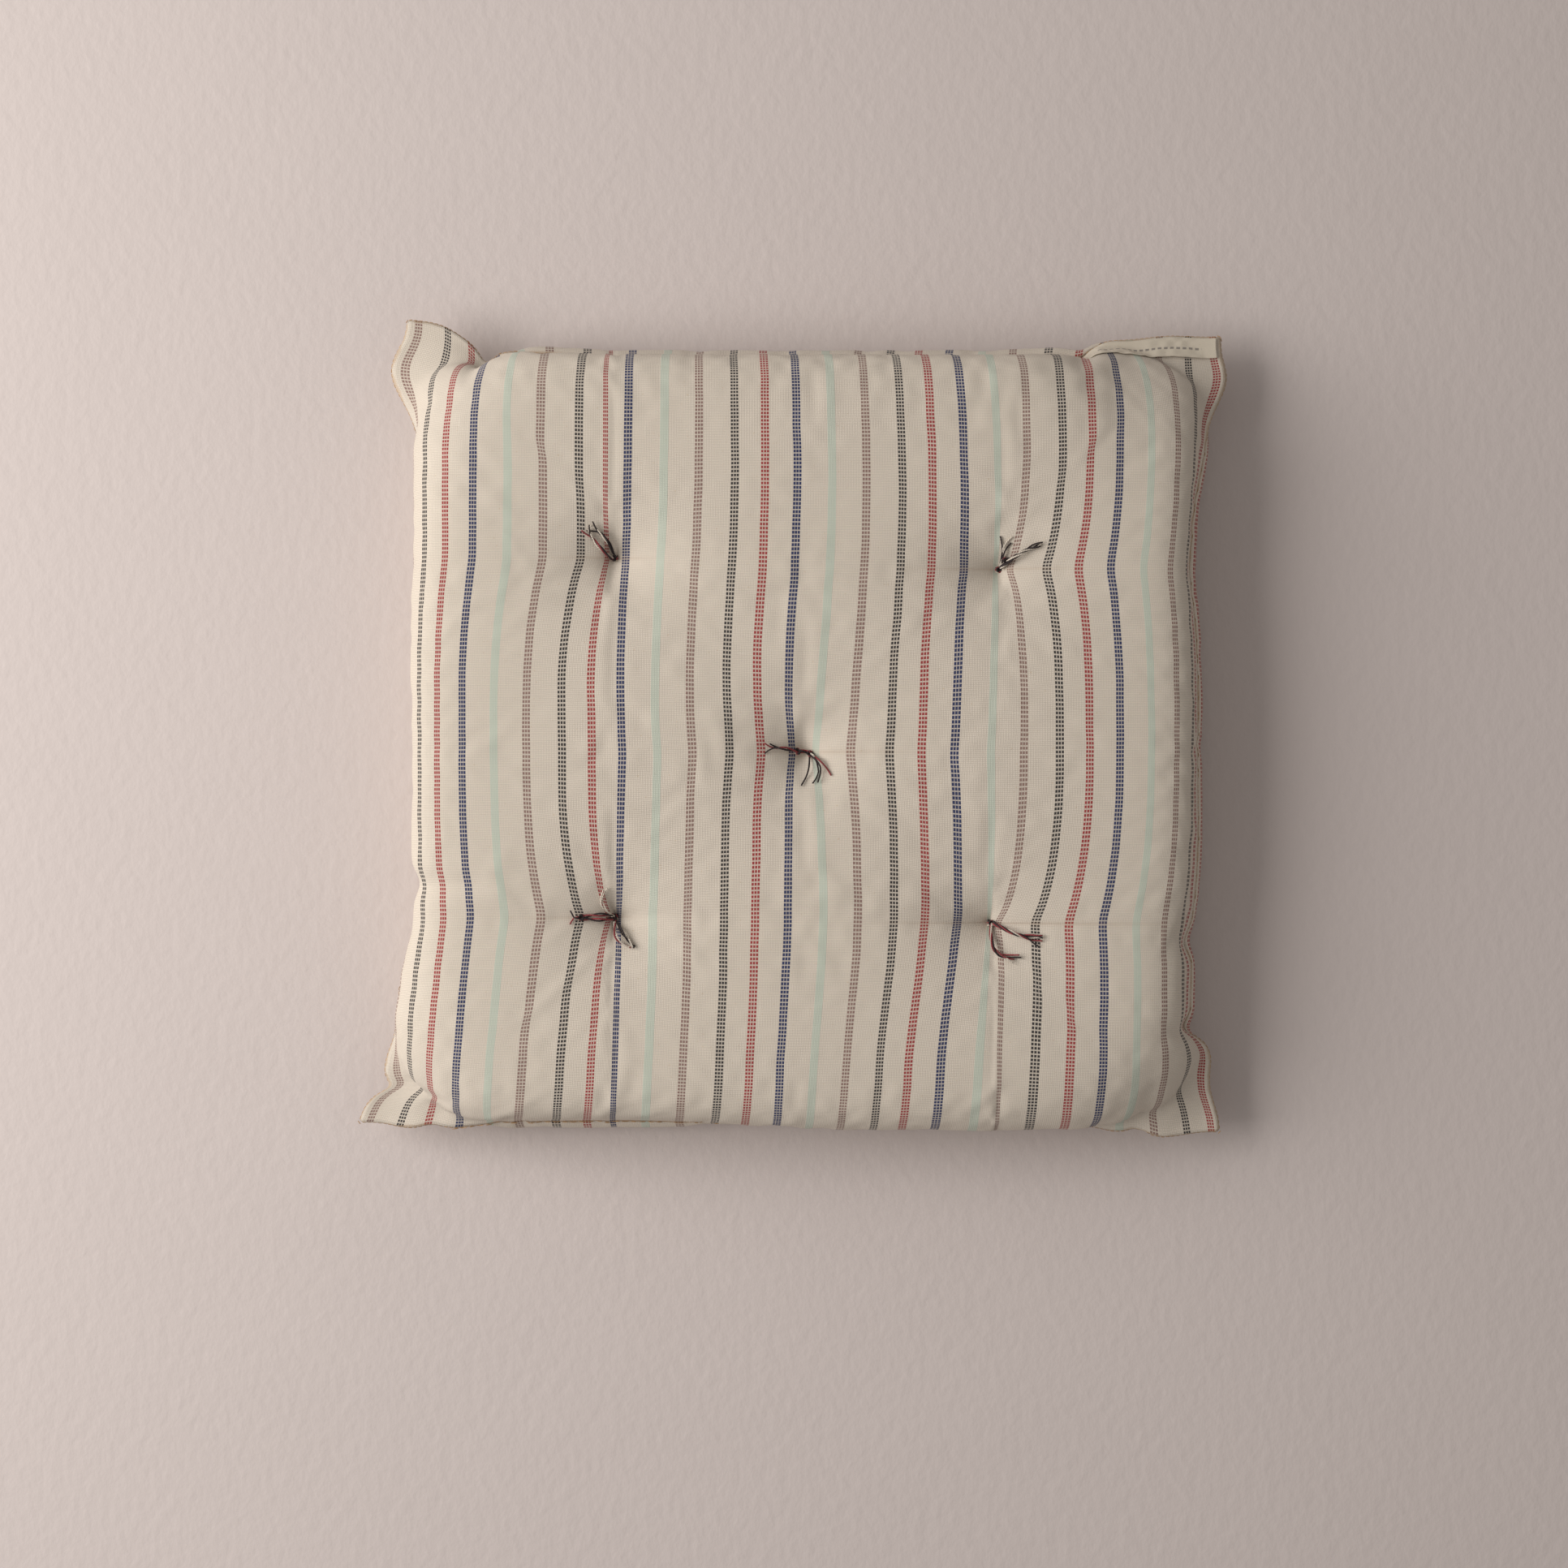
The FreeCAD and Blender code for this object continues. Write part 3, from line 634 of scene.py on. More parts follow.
def new_group(name, inputs, outputs):
    """Makes an empty shader node group; gives its wires, its inputs and its outputs.

    The default of an input says its kind: a number, a colour, or None for a place.
    """
    tree = bpy.data.node_groups.new(name, "ShaderNodeTree")
    for label, default in inputs.items():
        kind = "NodeSocketColor" if isinstance(default, tuple) else "NodeSocketFloat"
        kind = "NodeSocketVector" if default is None else kind
        socket = tree.interface.new_socket(name=label, in_out="INPUT", socket_type=kind)
        if default is not None:
            socket.default_value = default
    for label in outputs:
        kind = "NodeSocketColor" if label == "Colour" else "NodeSocketFloat"
        tree.interface.new_socket(name=label, in_out="OUTPUT", socket_type=kind)
    wires = Wires(tree)
    return wires, wires.node("NodeGroupInput").outputs, wires.node("NodeGroupOutput").inputs


def plain_weave_group():
    """Plain weave: warp ribs crossed by weft, with slubs, from a place in millimetres."""
    name = "plain_weave"
    if name in bpy.data.node_groups:
        return bpy.data.node_groups[name]
    inputs = {"Place": None, "Warp": 0.80, "Weft": 0.86, "Unevenness": 0.3}
    wires, get, put = new_group(name, inputs, ("Height", "Shade", "Slub"))
    wander = wires.noise(wires.scaled(get["Place"], 0.35, 0.35, 0.35), 3.0)
    shift = wires.times(wires.minus(wander, 0.5), get["Unevenness"])
    split = wires.split(get["Place"])
    warp = wires.over(wires.plus(split[0], shift), get["Warp"])
    weft = wires.over(wires.plus(split[1], shift), get["Weft"])
    rib, pick = wires.ridges(warp), wires.ridges(weft)
    cross = wires.math("POWER", wires.times(rib, pick), 0.6)
    height = wires.linear(cross, 0.75, wires.times(pick, 0.25))
    slub_warp = wires.noise(wires.scaled(get["Place"], 1.1, 0.07, 1.0), 4.0)
    slub_weft = wires.noise(wires.scaled(get["Place"], 0.06, 0.9, 1.0), 4.0)
    slub_weft = wires.step(slub_weft, 0.66, 0.82)
    slub = wires.math("MAXIMUM", wires.step(slub_warp, 0.62, 0.8), slub_weft)
    wires.put(put["Height"], wires.linear(slub, 0.3, height))
    wires.put(put["Shade"], wires.linear(height, 0.5, 0.5))
    wires.put(put["Slub"], slub)
    return wires.tree


def stripe_group():
    """One stripe: three columns of short floats, repeated across the cloth."""
    name = "floated_stripe"
    if name in bpy.data.node_groups:
        return bpy.data.node_groups[name]
    inputs = {"Across": 0.0, "Along": 0.0, "Middle": 0.0, "Period": 81.4, "End": 1.48}
    inputs.update({"Dash": 2.15, "Closeness": 0.0})
    wires, get, put = new_group(name, inputs, ("Mask", "Band"))
    half_period = wires.times(get["Period"], 0.5)
    aside = wires.minus(get["Across"], get["Middle"])
    offset = wires.math("WRAP", aside, half_period, wires.times(half_period, -1.0))
    half_band = wires.times(get["End"], 1.5)
    band = wires.step(wires.minus(half_band, wires.absolute(offset)), 0.0, 0.12)
    edge = wires.linear(get["Closeness"], 0.2, 0.38)
    column = wires.off_middle(wires.plus(offset, half_band), get["End"])
    column = wires.step(wires.minus(edge, column), -0.04, 0.06)
    edge = wires.linear(get["Closeness"], 0.3, 0.33)
    row = wires.off_middle(get["Along"], get["Dash"])
    row = wires.step(wires.minus(edge, row), -0.05, 0.07)
    wires.put(put["Mask"], wires.times(band, wires.times(column, row)))
    wires.put(put["Band"], band)
    return wires.tree


def drawn_thread_group():
    """The weft that a tie draws tight: a narrow crease that fades to either side of it, used for
    the bump and for painted shade.
    """
    name = "drawn_thread"
    if name in bpy.data.node_groups:
        return bpy.data.node_groups[name]
    inputs = {"Across": 0.0, "Along": 0.0, "Tie across": 0.0, "Tie along": 0.0}
    inputs.update({"Left": 40.0, "Right": 40.0, "Width": 0.9})
    wires, get, put = new_group(name, inputs, ("Crease",))
    aside = wires.minus(get["Across"], get["Tie across"])
    left = wires.step(wires.over(wires.times(aside, -1.0), get["Left"]), 1.0, 0.1)
    right = wires.step(wires.over(aside, get["Right"]), 1.0, 0.1)
    off = wires.absolute(wires.minus(get["Along"], get["Tie along"]))
    thin = wires.math("EXPONENT", wires.times(wires.over(off, get["Width"]), -1.0))
    wires.put(put["Crease"], wires.times(thin, wires.times(left, right)))
    return wires.tree


def fibre_tone_group():
    """Uneven tone of cotton: broad mottling with fine flecks."""
    name = "fibre_tone"
    if name in bpy.data.node_groups:
        return bpy.data.node_groups[name]
    inputs = {"Colour": (0.8, 0.8, 0.8, 1.0), "Place": None, "Mottle": 0.1, "Fleck": 0.2}
    wires, get, put = new_group(name, inputs, ("Colour",))
    broad = wires.noise(wires.scaled(get["Place"], 0.02, 0.02, 0.02), 4.0)
    fine = wires.noise(wires.scaled(get["Place"], 1.6, 1.6, 1.6), 3.0)
    speck = wires.noise(wires.scaled(get["Place"], 0.75, 0.75, 0.75), 1.0)
    swing = wires.times(wires.minus(broad, 0.5), get["Mottle"])
    swing = wires.linear(wires.minus(fine, 0.5), get["Fleck"], swing)
    shaded = wires.lit(get["Colour"], wires.plus(1.0, swing))
    tan = wires.mix(1.0, shaded, (0.86, 0.74, 0.58), "MULTIPLY")
    amount = wires.times(wires.step(speck, 0.68, 0.78), wires.times(get["Fleck"], 3.0))
    wires.put(put["Colour"], wires.mix(amount, shaded, tan))
    return wires.tree


def new_material(name):
    material = bpy.data.materials.new(name)
    material.use_nodes = True
    shader = material.node_tree.nodes["Principled BSDF"]
    return material, Wires(material.node_tree), shader.inputs


def finish_cloth(shader, rough, sheen):
    shader["Roughness"].default_value = rough
    shader["Sheen Weight"].default_value = sheen
    shader["Sheen Roughness"].default_value = 0.6
    shader["Specular IOR Level"].default_value = 0.2


def use_bump(wires, shader, height, distance, strength=1.0):
    inputs = {"Height": height, "Distance": distance, "Strength": strength}
    wires.put(shader["Normal"], wires.node("ShaderNodeBump", inputs).outputs[0])


def toned(wires, colour, place, mottle, fleck):
    """One colour with the uneven tone of cotton."""
    values = {"Colour": tuple(colour), "Place": place, "Mottle": mottle, "Fleck": fleck}
    return wires.group(fibre_tone_group(), values)["Colour"]


def mapped(wires, map_name):
    return wires.node("ShaderNodeUVMap", uv_map=map_name).outputs[0]


def striped_cotton(ties):
    """Cream weave with coloured stripes, creased at the ties, with painted tan shade where it
    turns in at the seam and painted brown shade along the creases.
    """
    look = bpy.context.scene.cushion_cloth
    material, wires, shader = new_material("striped_cotton_cloth")
    span = bpy.context.scene.cushion_casing.cut_side * MM - 2 * SEAM_ALLOWANCE
    place = wires.scaled(mapped(wires, "cloth"), span, span, 1.0)
    split = wires.split(place)
    weave = wires.group(plain_weave_group(), {"Place": place})
    drift = wires.noise(wires.scaled(place, 0.03, 0.012, 1.0))
    across = wires.plus(split[0], wires.times(wires.minus(drift, 0.5), 1.6))
    cloth = toned(wires, look.cream, place, 0.10, 0.16)
    cloth = wires.lit(cloth, wires.linear(weave["Shade"], 0.56, 0.535))
    cloth = wires.mix(wires.times(weave["Slub"], 0.3), cloth, (0.86, 0.80, 0.68))
    rise = weave["Height"]
    # Each stripe: place in millimetres, colour, closeness and strength of its floats, stain.
    for middle, shade, closeness, strength, stain in (
        (0.0, look.taupe, 0.0, 0.85, 0.16),
        (17.5, look.black, 0.0, 0.96, 0.14),
        (32.2, look.red, 0.0, 0.95, 0.18),
        (47.7, look.blue, 0.15, 0.97, 0.20),
        (64.8, look.aqua, 1.0, 0.26, 0.26),
    ):
        values = {
            "Across": across,
            "Along": split[1],
            "Middle": look.first * MM + middle,
            "Period": look.period * MM,
            "End": look.end * MM,
            "Dash": look.dash * MM,
            "Closeness": closeness,
        }
        stripe = wires.group(stripe_group(), values)
        cloth = wires.mix(wires.times(stripe["Band"], stain), cloth, tuple(shade))
        cloth = wires.mix(wires.times(stripe["Mask"], strength), cloth, tuple(shade))
        rise = wires.linear(stripe["Mask"], 0.35, rise)
    for tie_across, tie_along, left, right in ties:
        values = {
            "Across": split[0],
            "Along": split[1],
            "Tie across": tie_across * span,
            "Tie along": tie_along * span,
            "Left": left,
            "Right": right,
        }
        drawn = wires.group(drawn_thread_group(), values)["Crease"]
        # Painted shade: brown darkens the cloth along each tie's crease.
        cloth = wires.mix(wires.times(drawn, 0.30), cloth, (0.42, 0.27, 0.16))
        rise = wires.linear(drawn, -1.6, rise)
    # Painted shade: within 0.4 to 2.6 mm of the seam the cloth takes the tan thread colour,
    # standing for the warm shade in the groove where it turns in.
    near = [wires.math("MINIMUM", split[k], wires.minus(span, split[k])) for k in (0, 1)]
    patch = wires.step(wires.noise(wires.scaled(place, 0.05, 0.05, 0.05)), 0.40, 0.7)
    from_seam = wires.over(wires.math("MINIMUM", *near), wires.linear(patch, 2.2, 0.4))
    tint = wires.minus(1.0, wires.step(from_seam, 0.3, 1.0))
    cloth = wires.mix(wires.times(tint, 0.42), cloth, tuple(look.seam))
    wires.put(shader["Base Color"], cloth)
    finish_cloth(shader, 0.92, 0.12)
    use_bump(wires, shader, rise, 0.00022, 0.8)
    return material


def fibre_filling():
    """Combed cotton fibre."""
    material, wires, shader = new_material("fibre_filling_wadding")
    place = wires.object_place()
    colour = bpy.context.scene.cushion_cloth.fibre
    wires.put(shader["Base Color"], toned(wires, colour, place, 0.2, 0.3))
    finish_cloth(shader, 0.95, 0.3)
    use_bump(wires, shader, wires.noise(wires.scaled(place, 0.25, 2.2, 0.6), 6.0), 0.001)
    return material


def label_cotton():
    """Unprinted cotton tape with a broken woven line along its middle."""
    look = bpy.context.scene.cushion_cloth
    trim = bpy.context.scene.cushion_trim
    material, wires, shader = new_material("label_cotton_tape")
    long, deep = trim.label_length * MM, trim.label_depth * MM
    place = wires.scaled(mapped(wires, "tape"), long, deep, 1.0)
    values = {"Place": place, "Warp": 0.42, "Weft": 0.5, "Unevenness": 0.2}
    weave = wires.group(plain_weave_group(), values)
    split = wires.split(place)
    middle = wires.absolute(wires.minus(split[1], deep * 0.45))
    line = wires.minus(1.0, wires.step(middle, 0.45, 0.75))
    gap = wires.step(wires.off_middle(split[0], 3.4), 0.16, 0.24)
    ends = wires.step(wires.absolute(wires.minus(split[0], long / 2)), 29.0, 30.0)
    line = wires.times(line, wires.times(gap, wires.minus(1.0, ends)))
    cloth = toned(wires, look.label, place, 0.08, 0.12)
    cloth = wires.lit(cloth, wires.linear(weave["Shade"], 0.2, 0.85))
    cloth = wires.mix(wires.times(line, 0.75), cloth, tuple(look.mark))
    wires.put(shader["Base Color"], cloth)
    finish_cloth(shader, 0.85, 0.1)
    use_bump(wires, shader, weave["Height"], 0.0001)
    return material


def seam_thread():
    """Tan sewing thread, twisted."""
    name = "seam_thread_cotton"
    if name in bpy.data.materials:
        return bpy.data.materials[name]
    material, wires, shader = new_material(name)
    place = wires.object_place()
    colour = bpy.context.scene.cushion_cloth.seam
    wires.put(shader["Base Color"], toned(wires, colour, place, 0.3, 0.3))
    finish_cloth(shader, 0.6, 0.1)
    use_bump(wires, shader, wires.noise(wires.scaled(place, 3.0, 3.0, 6.0), 1.0), 0.0001)
    return material


def yarn(name, tint):
    """Twisted cotton yarn; its map runs once round the strand and in millimetres along it."""
    full = "yarn_" + name + "_cotton"
    if full in bpy.data.materials:
        return bpy.data.materials[full]
    material, wires, shader = new_material(full)
    source = mapped(wires, "strand")
    split = wires.split(source)
    ply = wires.ridges(wires.linear(split[1], 0.75, wires.times(split[0], 2.0)))
    cotton = toned(wires, tint, wires.scaled(source, 2.0, 1.0, 1.0), 0.5, 0.5)
    wires.put(shader["Base Color"], wires.lit(cotton, wires.linear(ply, 0.6, 0.5)))
    finish_cloth(shader, 0.85, 0.08)
    use_bump(wires, shader, ply, 0.00015)
    return material


# ---------------------------------------------------------------- stitches


def stitch_tree():
    """Geometry nodes that lay slender stitches along a line."""
    name = "stitches_along_line"
    if name in bpy.data.node_groups:
        return bpy.data.node_groups[name]
    tree = bpy.data.node_groups.new(name, "GeometryNodeTree")
    for label, kind, default in (
        ("Line", "Geometry", None),
        ("Pitch", "Float", 0.0028),
        ("Length", "Float", 0.0022),
        ("Thickness", "Float", 0.0005),
        ("Slant", "Float", 0.0),
        ("Seed", "Int", 7),
        ("Thread", "Material", None),
    ):
        kind = "NodeSocket" + kind
        socket = tree.interface.new_socket(name=label, in_out="INPUT", socket_type=kind)
        if default is not None:
            socket.default_value = default
    kind = "NodeSocketGeometry"
    tree.interface.new_socket(name="Stitches", in_out="OUTPUT", socket_type=kind)
    wires = Wires(tree)
    get = wires.node("NodeGroupInput").outputs
    line = wires.node("GeometryNodeMeshToCurve", {"Mesh": get["Line"]})
    spaced = wires.node("GeometryNodeResampleCurve", mode="LENGTH")
    wires.put(spaced.inputs["Curve"], line.outputs[0])
    wires.put(spaced.inputs["Length"], get["Pitch"])
    bead = wires.node("GeometryNodeMeshUVSphere", {"Segments": 6, "Rings": 5, "Radius": 0.5})
    tangent = wires.node("GeometryNodeInputTangent").outputs[0]
    least_and_most = {2: 0.85, 3: 1.12, "Seed": get["Seed"]}
    random = wires.node("FunctionNodeRandomValue", least_and_most, data_type="FLOAT")
    index = wires.node("GeometryNodeInputIndex").outputs[0]
    odd = wires.linear(wires.math("MODULO", index, 2.0), 2.0, -1.0)
    lean = wires.join(z=wires.times(odd, get["Slant"]))
    way = wires.node("ShaderNodeVectorMath", {0: tangent, 1: lean}, operation="ADD").outputs[0]
    turn = wires.node("FunctionNodeAlignRotationToVector", {"Vector": way}, axis="Z")
    long = wires.times(get["Length"], random.outputs[1])
    placed = {
        "Points": spaced.outputs[0],
        "Instance": bead.outputs["Mesh"],
        "Rotation": turn.outputs[0],
        "Scale": wires.join(get["Thickness"], get["Thickness"], long),
    }
    laid = wires.node("GeometryNodeInstanceOnPoints", placed).outputs[0]
    real = wires.node("GeometryNodeRealizeInstances", {"Geometry": laid}).outputs[0]
    threaded = {"Geometry": real, "Material": get["Thread"]}
    done = wires.node("GeometryNodeSetMaterial", threaded).outputs[0]
    wires.put(wires.node("NodeGroupOutput").inputs[0], done)
    return tree


def stitched(name, line, closed, values):
    """Makes a plain mesh of stitches along a line of points."""
    count = len(line)
    edges = [(i, (i + 1) % count) for i in range(count if closed else count - 1)]
    guide = new_piece(name + "_guide", new_mesh(name + "_guide", line, (), edges))
    modifier = guide.modifiers.new("Stitches", "NODES")
    modifier.node_group = stitch_tree()
    sockets = {item.name: item.identifier for item in modifier.node_group.interface.items_tree}
    for key, value in values.items():
        modifier[sockets[key]] = value
    modifier[sockets["Thread"]] = seam_thread()
    bpy.context.view_layer.update()
    settled = guide.evaluated_get(bpy.context.evaluated_depsgraph_get())
    mesh = bpy.data.meshes.new_from_object(settled)
    mesh.name = name
    if not mesh.polygons:
        raise RuntimeError(name + " has no stitches")
    bpy.data.objects.remove(guide)
    return new_piece(name, mesh, seam_thread())


def seam_line(outward, rise):
    """The seam from corner to corner round the cushion, moved outward and up a little."""
    front, back = face_grid("front_panel_cloth"), face_grid("back_panel_cloth")
    middle = (front + back) / 2
    ring = [middle[:-1, 0], middle[-1, :-1], middle[:0:-1, -1], middle[0, :0:-1]]
    line = np.concatenate(ring)
    ahead, behind = np.roll(line, -1, axis=0), np.roll(line, 1, axis=0)
    run = (ahead - behind)[:, :2]
    run /= np.maximum(np.linalg.norm(run, axis=1, keepdims=True), 1e-9)
    line[:, 0] += run[:, 1] * outward
    line[:, 1] -= run[:, 0] * outward
    line[:, 2] += rise
    return line


# ---------------------------------------------------------------- yarn


def tube(path, radius, sides=6):
    """Sweeps a closed tube along a path; gives its points, faces and map."""
    path = np.asarray(path, dtype=float)
    count = len(path)
    radius = np.broadcast_to(radius, (count,))
    run = np.gradient(path, axis=0)
    run /= np.maximum(np.linalg.norm(run, axis=1, keepdims=True), 1e-9)
    side = np.cross(run[0], (0.3, 0.2, 1.0))
    side /= np.linalg.norm(side)
    far = run_along(path) * MM
    points, maps, faces = [], [], []
    for k in range(count):
        side = side - run[k] * np.dot(side, run[k])
        side /= max(np.linalg.norm(side), 1e-9)
        other = np.cross(run[k], side)
        for m in range(sides):
            angle = 2 * math.pi * m / sides
            outward = math.cos(angle) * side + math.sin(angle) * other
            points.append(path[k] + radius[k] * outward)
            maps.append((m / sides, far[k]))
    for low in range(0, (count - 1) * sides, sides):
        high = low + sides
        for m in range(sides):
            n = (m + 1) % sides
            faces.append((low + m, low + n, high + n, high + m))
    faces.append(tuple(reversed(range(sides))))
    faces.append(tuple(range((count - 1) * sides, count * sides)))
    return points, faces, maps


class Strands:
    """Collects the tubes of one colour into one mesh."""

    def __init__(self):
        self.points, self.faces, self.maps = [], [], []

    def add(self, path, radius):
        points, faces, maps = tube(path, radius)
        start = len(self.points)
        self.points += points
        self.maps += maps
        self.faces += [tuple(start + i for i in face) for face in faces]

    def piece(self, name, material):
        mesh = new_mesh(name, self.points, self.faces)
        set_map(mesh, "strand", self.maps)
        return new_piece(name, mesh, material)


# Knots of each tie as places right of and above its middle, in millimetres.
KNOTS = {
    "top_left": ((0.0, 0.0),),
    "top_right": ((0.0, 0.0), (3.4, 4.6)),
    "middle": ((-3.2, 0.6), (3.4, -0.7)),
    "bottom_left": ((0.0, 0.0), (-16.6, 0.2)),
    "bottom_right": ((0.0, 0.0),),
}
# Tails of each tie: start (right, up), direction in degrees, length, curl and fan, in
# millimetres, and the colour of each strand.
TAILS = {
    "top_left": (
        (0.6, 0.6, 132.0, 21.5, -2.6, 1.6, ("black", "cream", "black")),
        (-1.0, -0.4, 130.0, 21.0, 1.2, 1.6, ("black", "cream", "crimson")),
    ),
    "top_right": (
        (0.6, 3.2, 91.0, 14.0, -0.8, 0.5, ("black",)),
        (1.4, 3.4, 62.0, 12.0, 1.6, 0.5, ("black",)),
        (1.0, 3.0, 66.0, 15.5, 2.4, 0.5, ("cream",)),
        (0.6, 0.8, 29.5, 25.5, 1.2, 0.2, ("black", "cream", "black", "cream", "black")),
    ),
    "middle": (
        (-3.4, 0.6, -10.0, 7.4, 0.5, 0.4, ("black", "crimson", "black", "crimson")),
        (-3.2, 0.8, 166.0, 16.5, 1.0, 0.5, ("black",)),
        (-3.2, 0.4, 176.0, 19.0, -1.2, 2.4, ("crimson", "black")),
        (3.0, -0.6, -106.0, 17.5, 1.8, 0.5, ("black",)),
        (3.4, -0.6, -85.0, 17.0, 4.0, 1.8, ("black", "black")),
        (3.4, -0.4, -47.0, 16.0, 1.0, 0.5, ("crimson",)),
        (3.2, -0.2, -52.0, 5.5, 0.6, 0.4, ("cream",)),
    ),
    "bottom_left": (
        (-0.6, 1.2, 183.5, 16.5, -0.8, 0.4, ("black", "crimson")),
        (-0.6, -0.6, 178.0, 16.5, 0.8, 0.4, ("crimson", "black")),
        (-17.0, 0.2, 180.0, 5.6, 0.2, 2.2, ("black", "crimson")),
        (-0.4, 0.4, 100.0, 15.5, 4.2, 1.6, ("cream", "cream")),
        (0.6, -2.0, -52.0, 18.0, -0.4, 1.0, ("black", "cream", "black")),
        (0.4, -2.0, -52.0, 17.5, -4.4, 1.0, ("crimson", "cream")),
    ),
    "bottom_right": (
        (0.6, 0.0, -17.0, 27.5, -1.8, 2.4, ("black", "crimson", "cream", "black", "crimson")),
        (-0.4, -0.4, -47.0, 23.0, -8.0, 1.6, ("cream", "crimson", "black", "crimson")),
    ),
}
SHADES = ("cream", "crimson", "black")


class Top:
    """Height of a made face above any point of the plan."""

    def __init__(self, name, down):
        settled = bpy.data.objects[name].evaluated_get(bpy.context.evaluated_depsgraph_get())
        mesh = settled.to_mesh()
        places = [v.co.copy() for v in mesh.vertices]
        self.tree = BVHTree.FromPolygons(places, [tuple(p.vertices) for p in mesh.polygons])
        settled.to_mesh_clear()
        self.down = down

    def at(self, x, y):
        start = Vector((x, y, 0.5 if self.down else -0.5))
        hit = self.tree.ray_cast(start, Vector((0, 0, -1 if self.down else 1)))[0]
        return hit.z if hit else SEAM_LEVEL


def tail_paths(top, centre, tail, trim, chance):
    """Paths of a bundle of strands that leave a knot, lie over the cloth and fray apart."""
    right, up, heading, reach, curl, fan, colours = tail
    start = Vector((centre.x + right / MM, centre.y + up / MM))
    turn = math.radians(heading)
    count = len(colours)
    gauge = trim.strand / 2
    for place, shade in enumerate(colours):
        long = reach / MM * (1 - 0.12 * chance.random())
        spin = 2 * math.pi * place / count + chance.random()
        spread = fan / MM * (place - (count - 1) / 2) / max(count - 1, 1) * 2.4
        spread += 0.0008 * (chance.random() - 0.5)
        hook = 0.0012 * (chance.random() - 0.5)
        lift = 0.0014 + 0.0014 * chance.random()
        path = []
        for t in (k / STEPS_OF_TAIL for k in range(STEPS_OF_TAIL + 1)):
            loose = max(0.0, t - FRAY_FROM) / (1 - FRAY_FROM)
            bundle = gauge * (1.2 if count > 1 else 0.0) * (1 + 0.5 * loose)
            wind = spin + t * long * MM * 0.38
            side = curl / MM * math.sin(math.pi * t * 0.9) + spread * loose**1.3
            side += hook * loose**2 * math.sin(3 * t) + bundle * math.cos(wind)
            ahead = long * t
            x = start.x + ahead * math.cos(turn) - side * math.sin(turn)
            y = start.y + ahead * math.sin(turn) + side * math.cos(turn)
            near = ((x, y), (x + 0.001, y), (x - 0.001, y), (x, y - 0.001))
            rise = gauge * 1.3 + bundle * (1 + math.sin(wind))
            rise += lift * math.sin(math.pi * min(t * 1.25, 1.0)) ** 2
            path.append((x, y, max(top.at(*spot) for spot in near) + rise))
        yield shade, np.array(path), gauge * np.linspace(1.0, 0.8, STEPS_OF_TAIL + 1)


def knot_paths(centre, trim, turn, chance):
    """Wraps of the knot itself, two for each colour."""
    for index, shade in enumerate(SHADES):
        for wrap in range(2):
            tilt = turn + 1.1 * index + 0.6 * wrap
            c, s = math.cos(tilt), math.sin(tilt)
            radius = trim.knot * (0.55 + 0.18 * chance.random())
            path = []
            for k in range(STEPS_OF_KNOT + 1):
                angle = 2 * math.pi * k / STEPS_OF_KNOT * 1.4
                a, b = math.cos(angle) * radius, math.sin(angle) * radius * 0.62
                height = 0.0006 * math.sin(2 * angle + index) + 0.0007 * (index + wrap * 0.5)
                x, y = centre.x + a * c - b * s, centre.y + a * s + b * c
                path.append((x, y, centre.z + 0.0006 + height))
            yield shade, np.array(path), trim.strand / 2


def leg_paths(front_z, back_z, centre, trim):
    """The strands that go down through the pad, across its back and up again."""
    half = trim.leg_span / 2
    left, right = centre.x - half, centre.x + half
    proud = 0.0006  # stands off the cloth
    for index, shade in enumerate(SHADES):
        y = centre.y + (index - 1) * trim.strand * 1.25
        shares = np.linspace(0, 1, 9)
        path = [(left, y, front_z + proud)]
        path += [(left, y, front_z + (back_z - front_z) * t) for t in shares[1:]]
        for t in shares:
            sag = 0.0005 * math.sin(math.pi * t)
            path.append((left + trim.leg_span * t, y, back_z - proud - sag))
        path += [(right, y, back_z + (front_z + proud - back_z) * t) for t in shares]
        yield shade, np.array(path), trim.strand / 2


# ---------------------------------------------------------------- operators


def take_place(piece, slot, *nodes):
    """Puts a piece on the cushion's body in place of the solids that it stands for."""
    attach(piece, BODY)
    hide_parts(*nodes)


def give_wall(piece, thickness, offset):
    """Rounds a sheet once and gives it its thickness."""
    smooth = piece.modifiers.new("Smooth cloth", "SUBSURF")
    smooth.levels = smooth.render_levels = 1
    wall = piece.modifiers.new("Cloth thickness", "SOLIDIFY")
    wall.thickness, wall.offset = thickness, offset


class CUSHION_OT_casing(bpy.types.Operator):
    """Sew the two striped panels together and fill them"""

    bl_idname = "cushion.casing"
    bl_label = "Casing"

    def execute(self, context):
        sizes = context.scene.cushion_casing
        front, back = settled_casing(sizes)
        line = (np.linspace(-1, 1, sizes.cells + 1) + 1) / 2
        across, along = np.meshgrid(line, line, indexing="ij")
        grid = np.arange(across.size).reshape(across.shape)
        cotton = striped_cotton(places_of_ties(front))
        for name, places, turned, node in (
            ("front_panel_cloth", front, False, "front_panel"),
            ("back_panel_cloth", back, True, "back_panel"),
        ):
            mesh = new_mesh(name, places.reshape(-1, 3), quads(grid, turned))
            set_map(mesh, "cloth", np.stack([across.ravel(), along.ravel()], axis=-1))
            panel = new_piece(name, mesh, cotton)
            give_wall(panel, sizes.cloth, -1.0)
            take_place(panel, "striped_cotton", node)
        return {"FINISHED"}


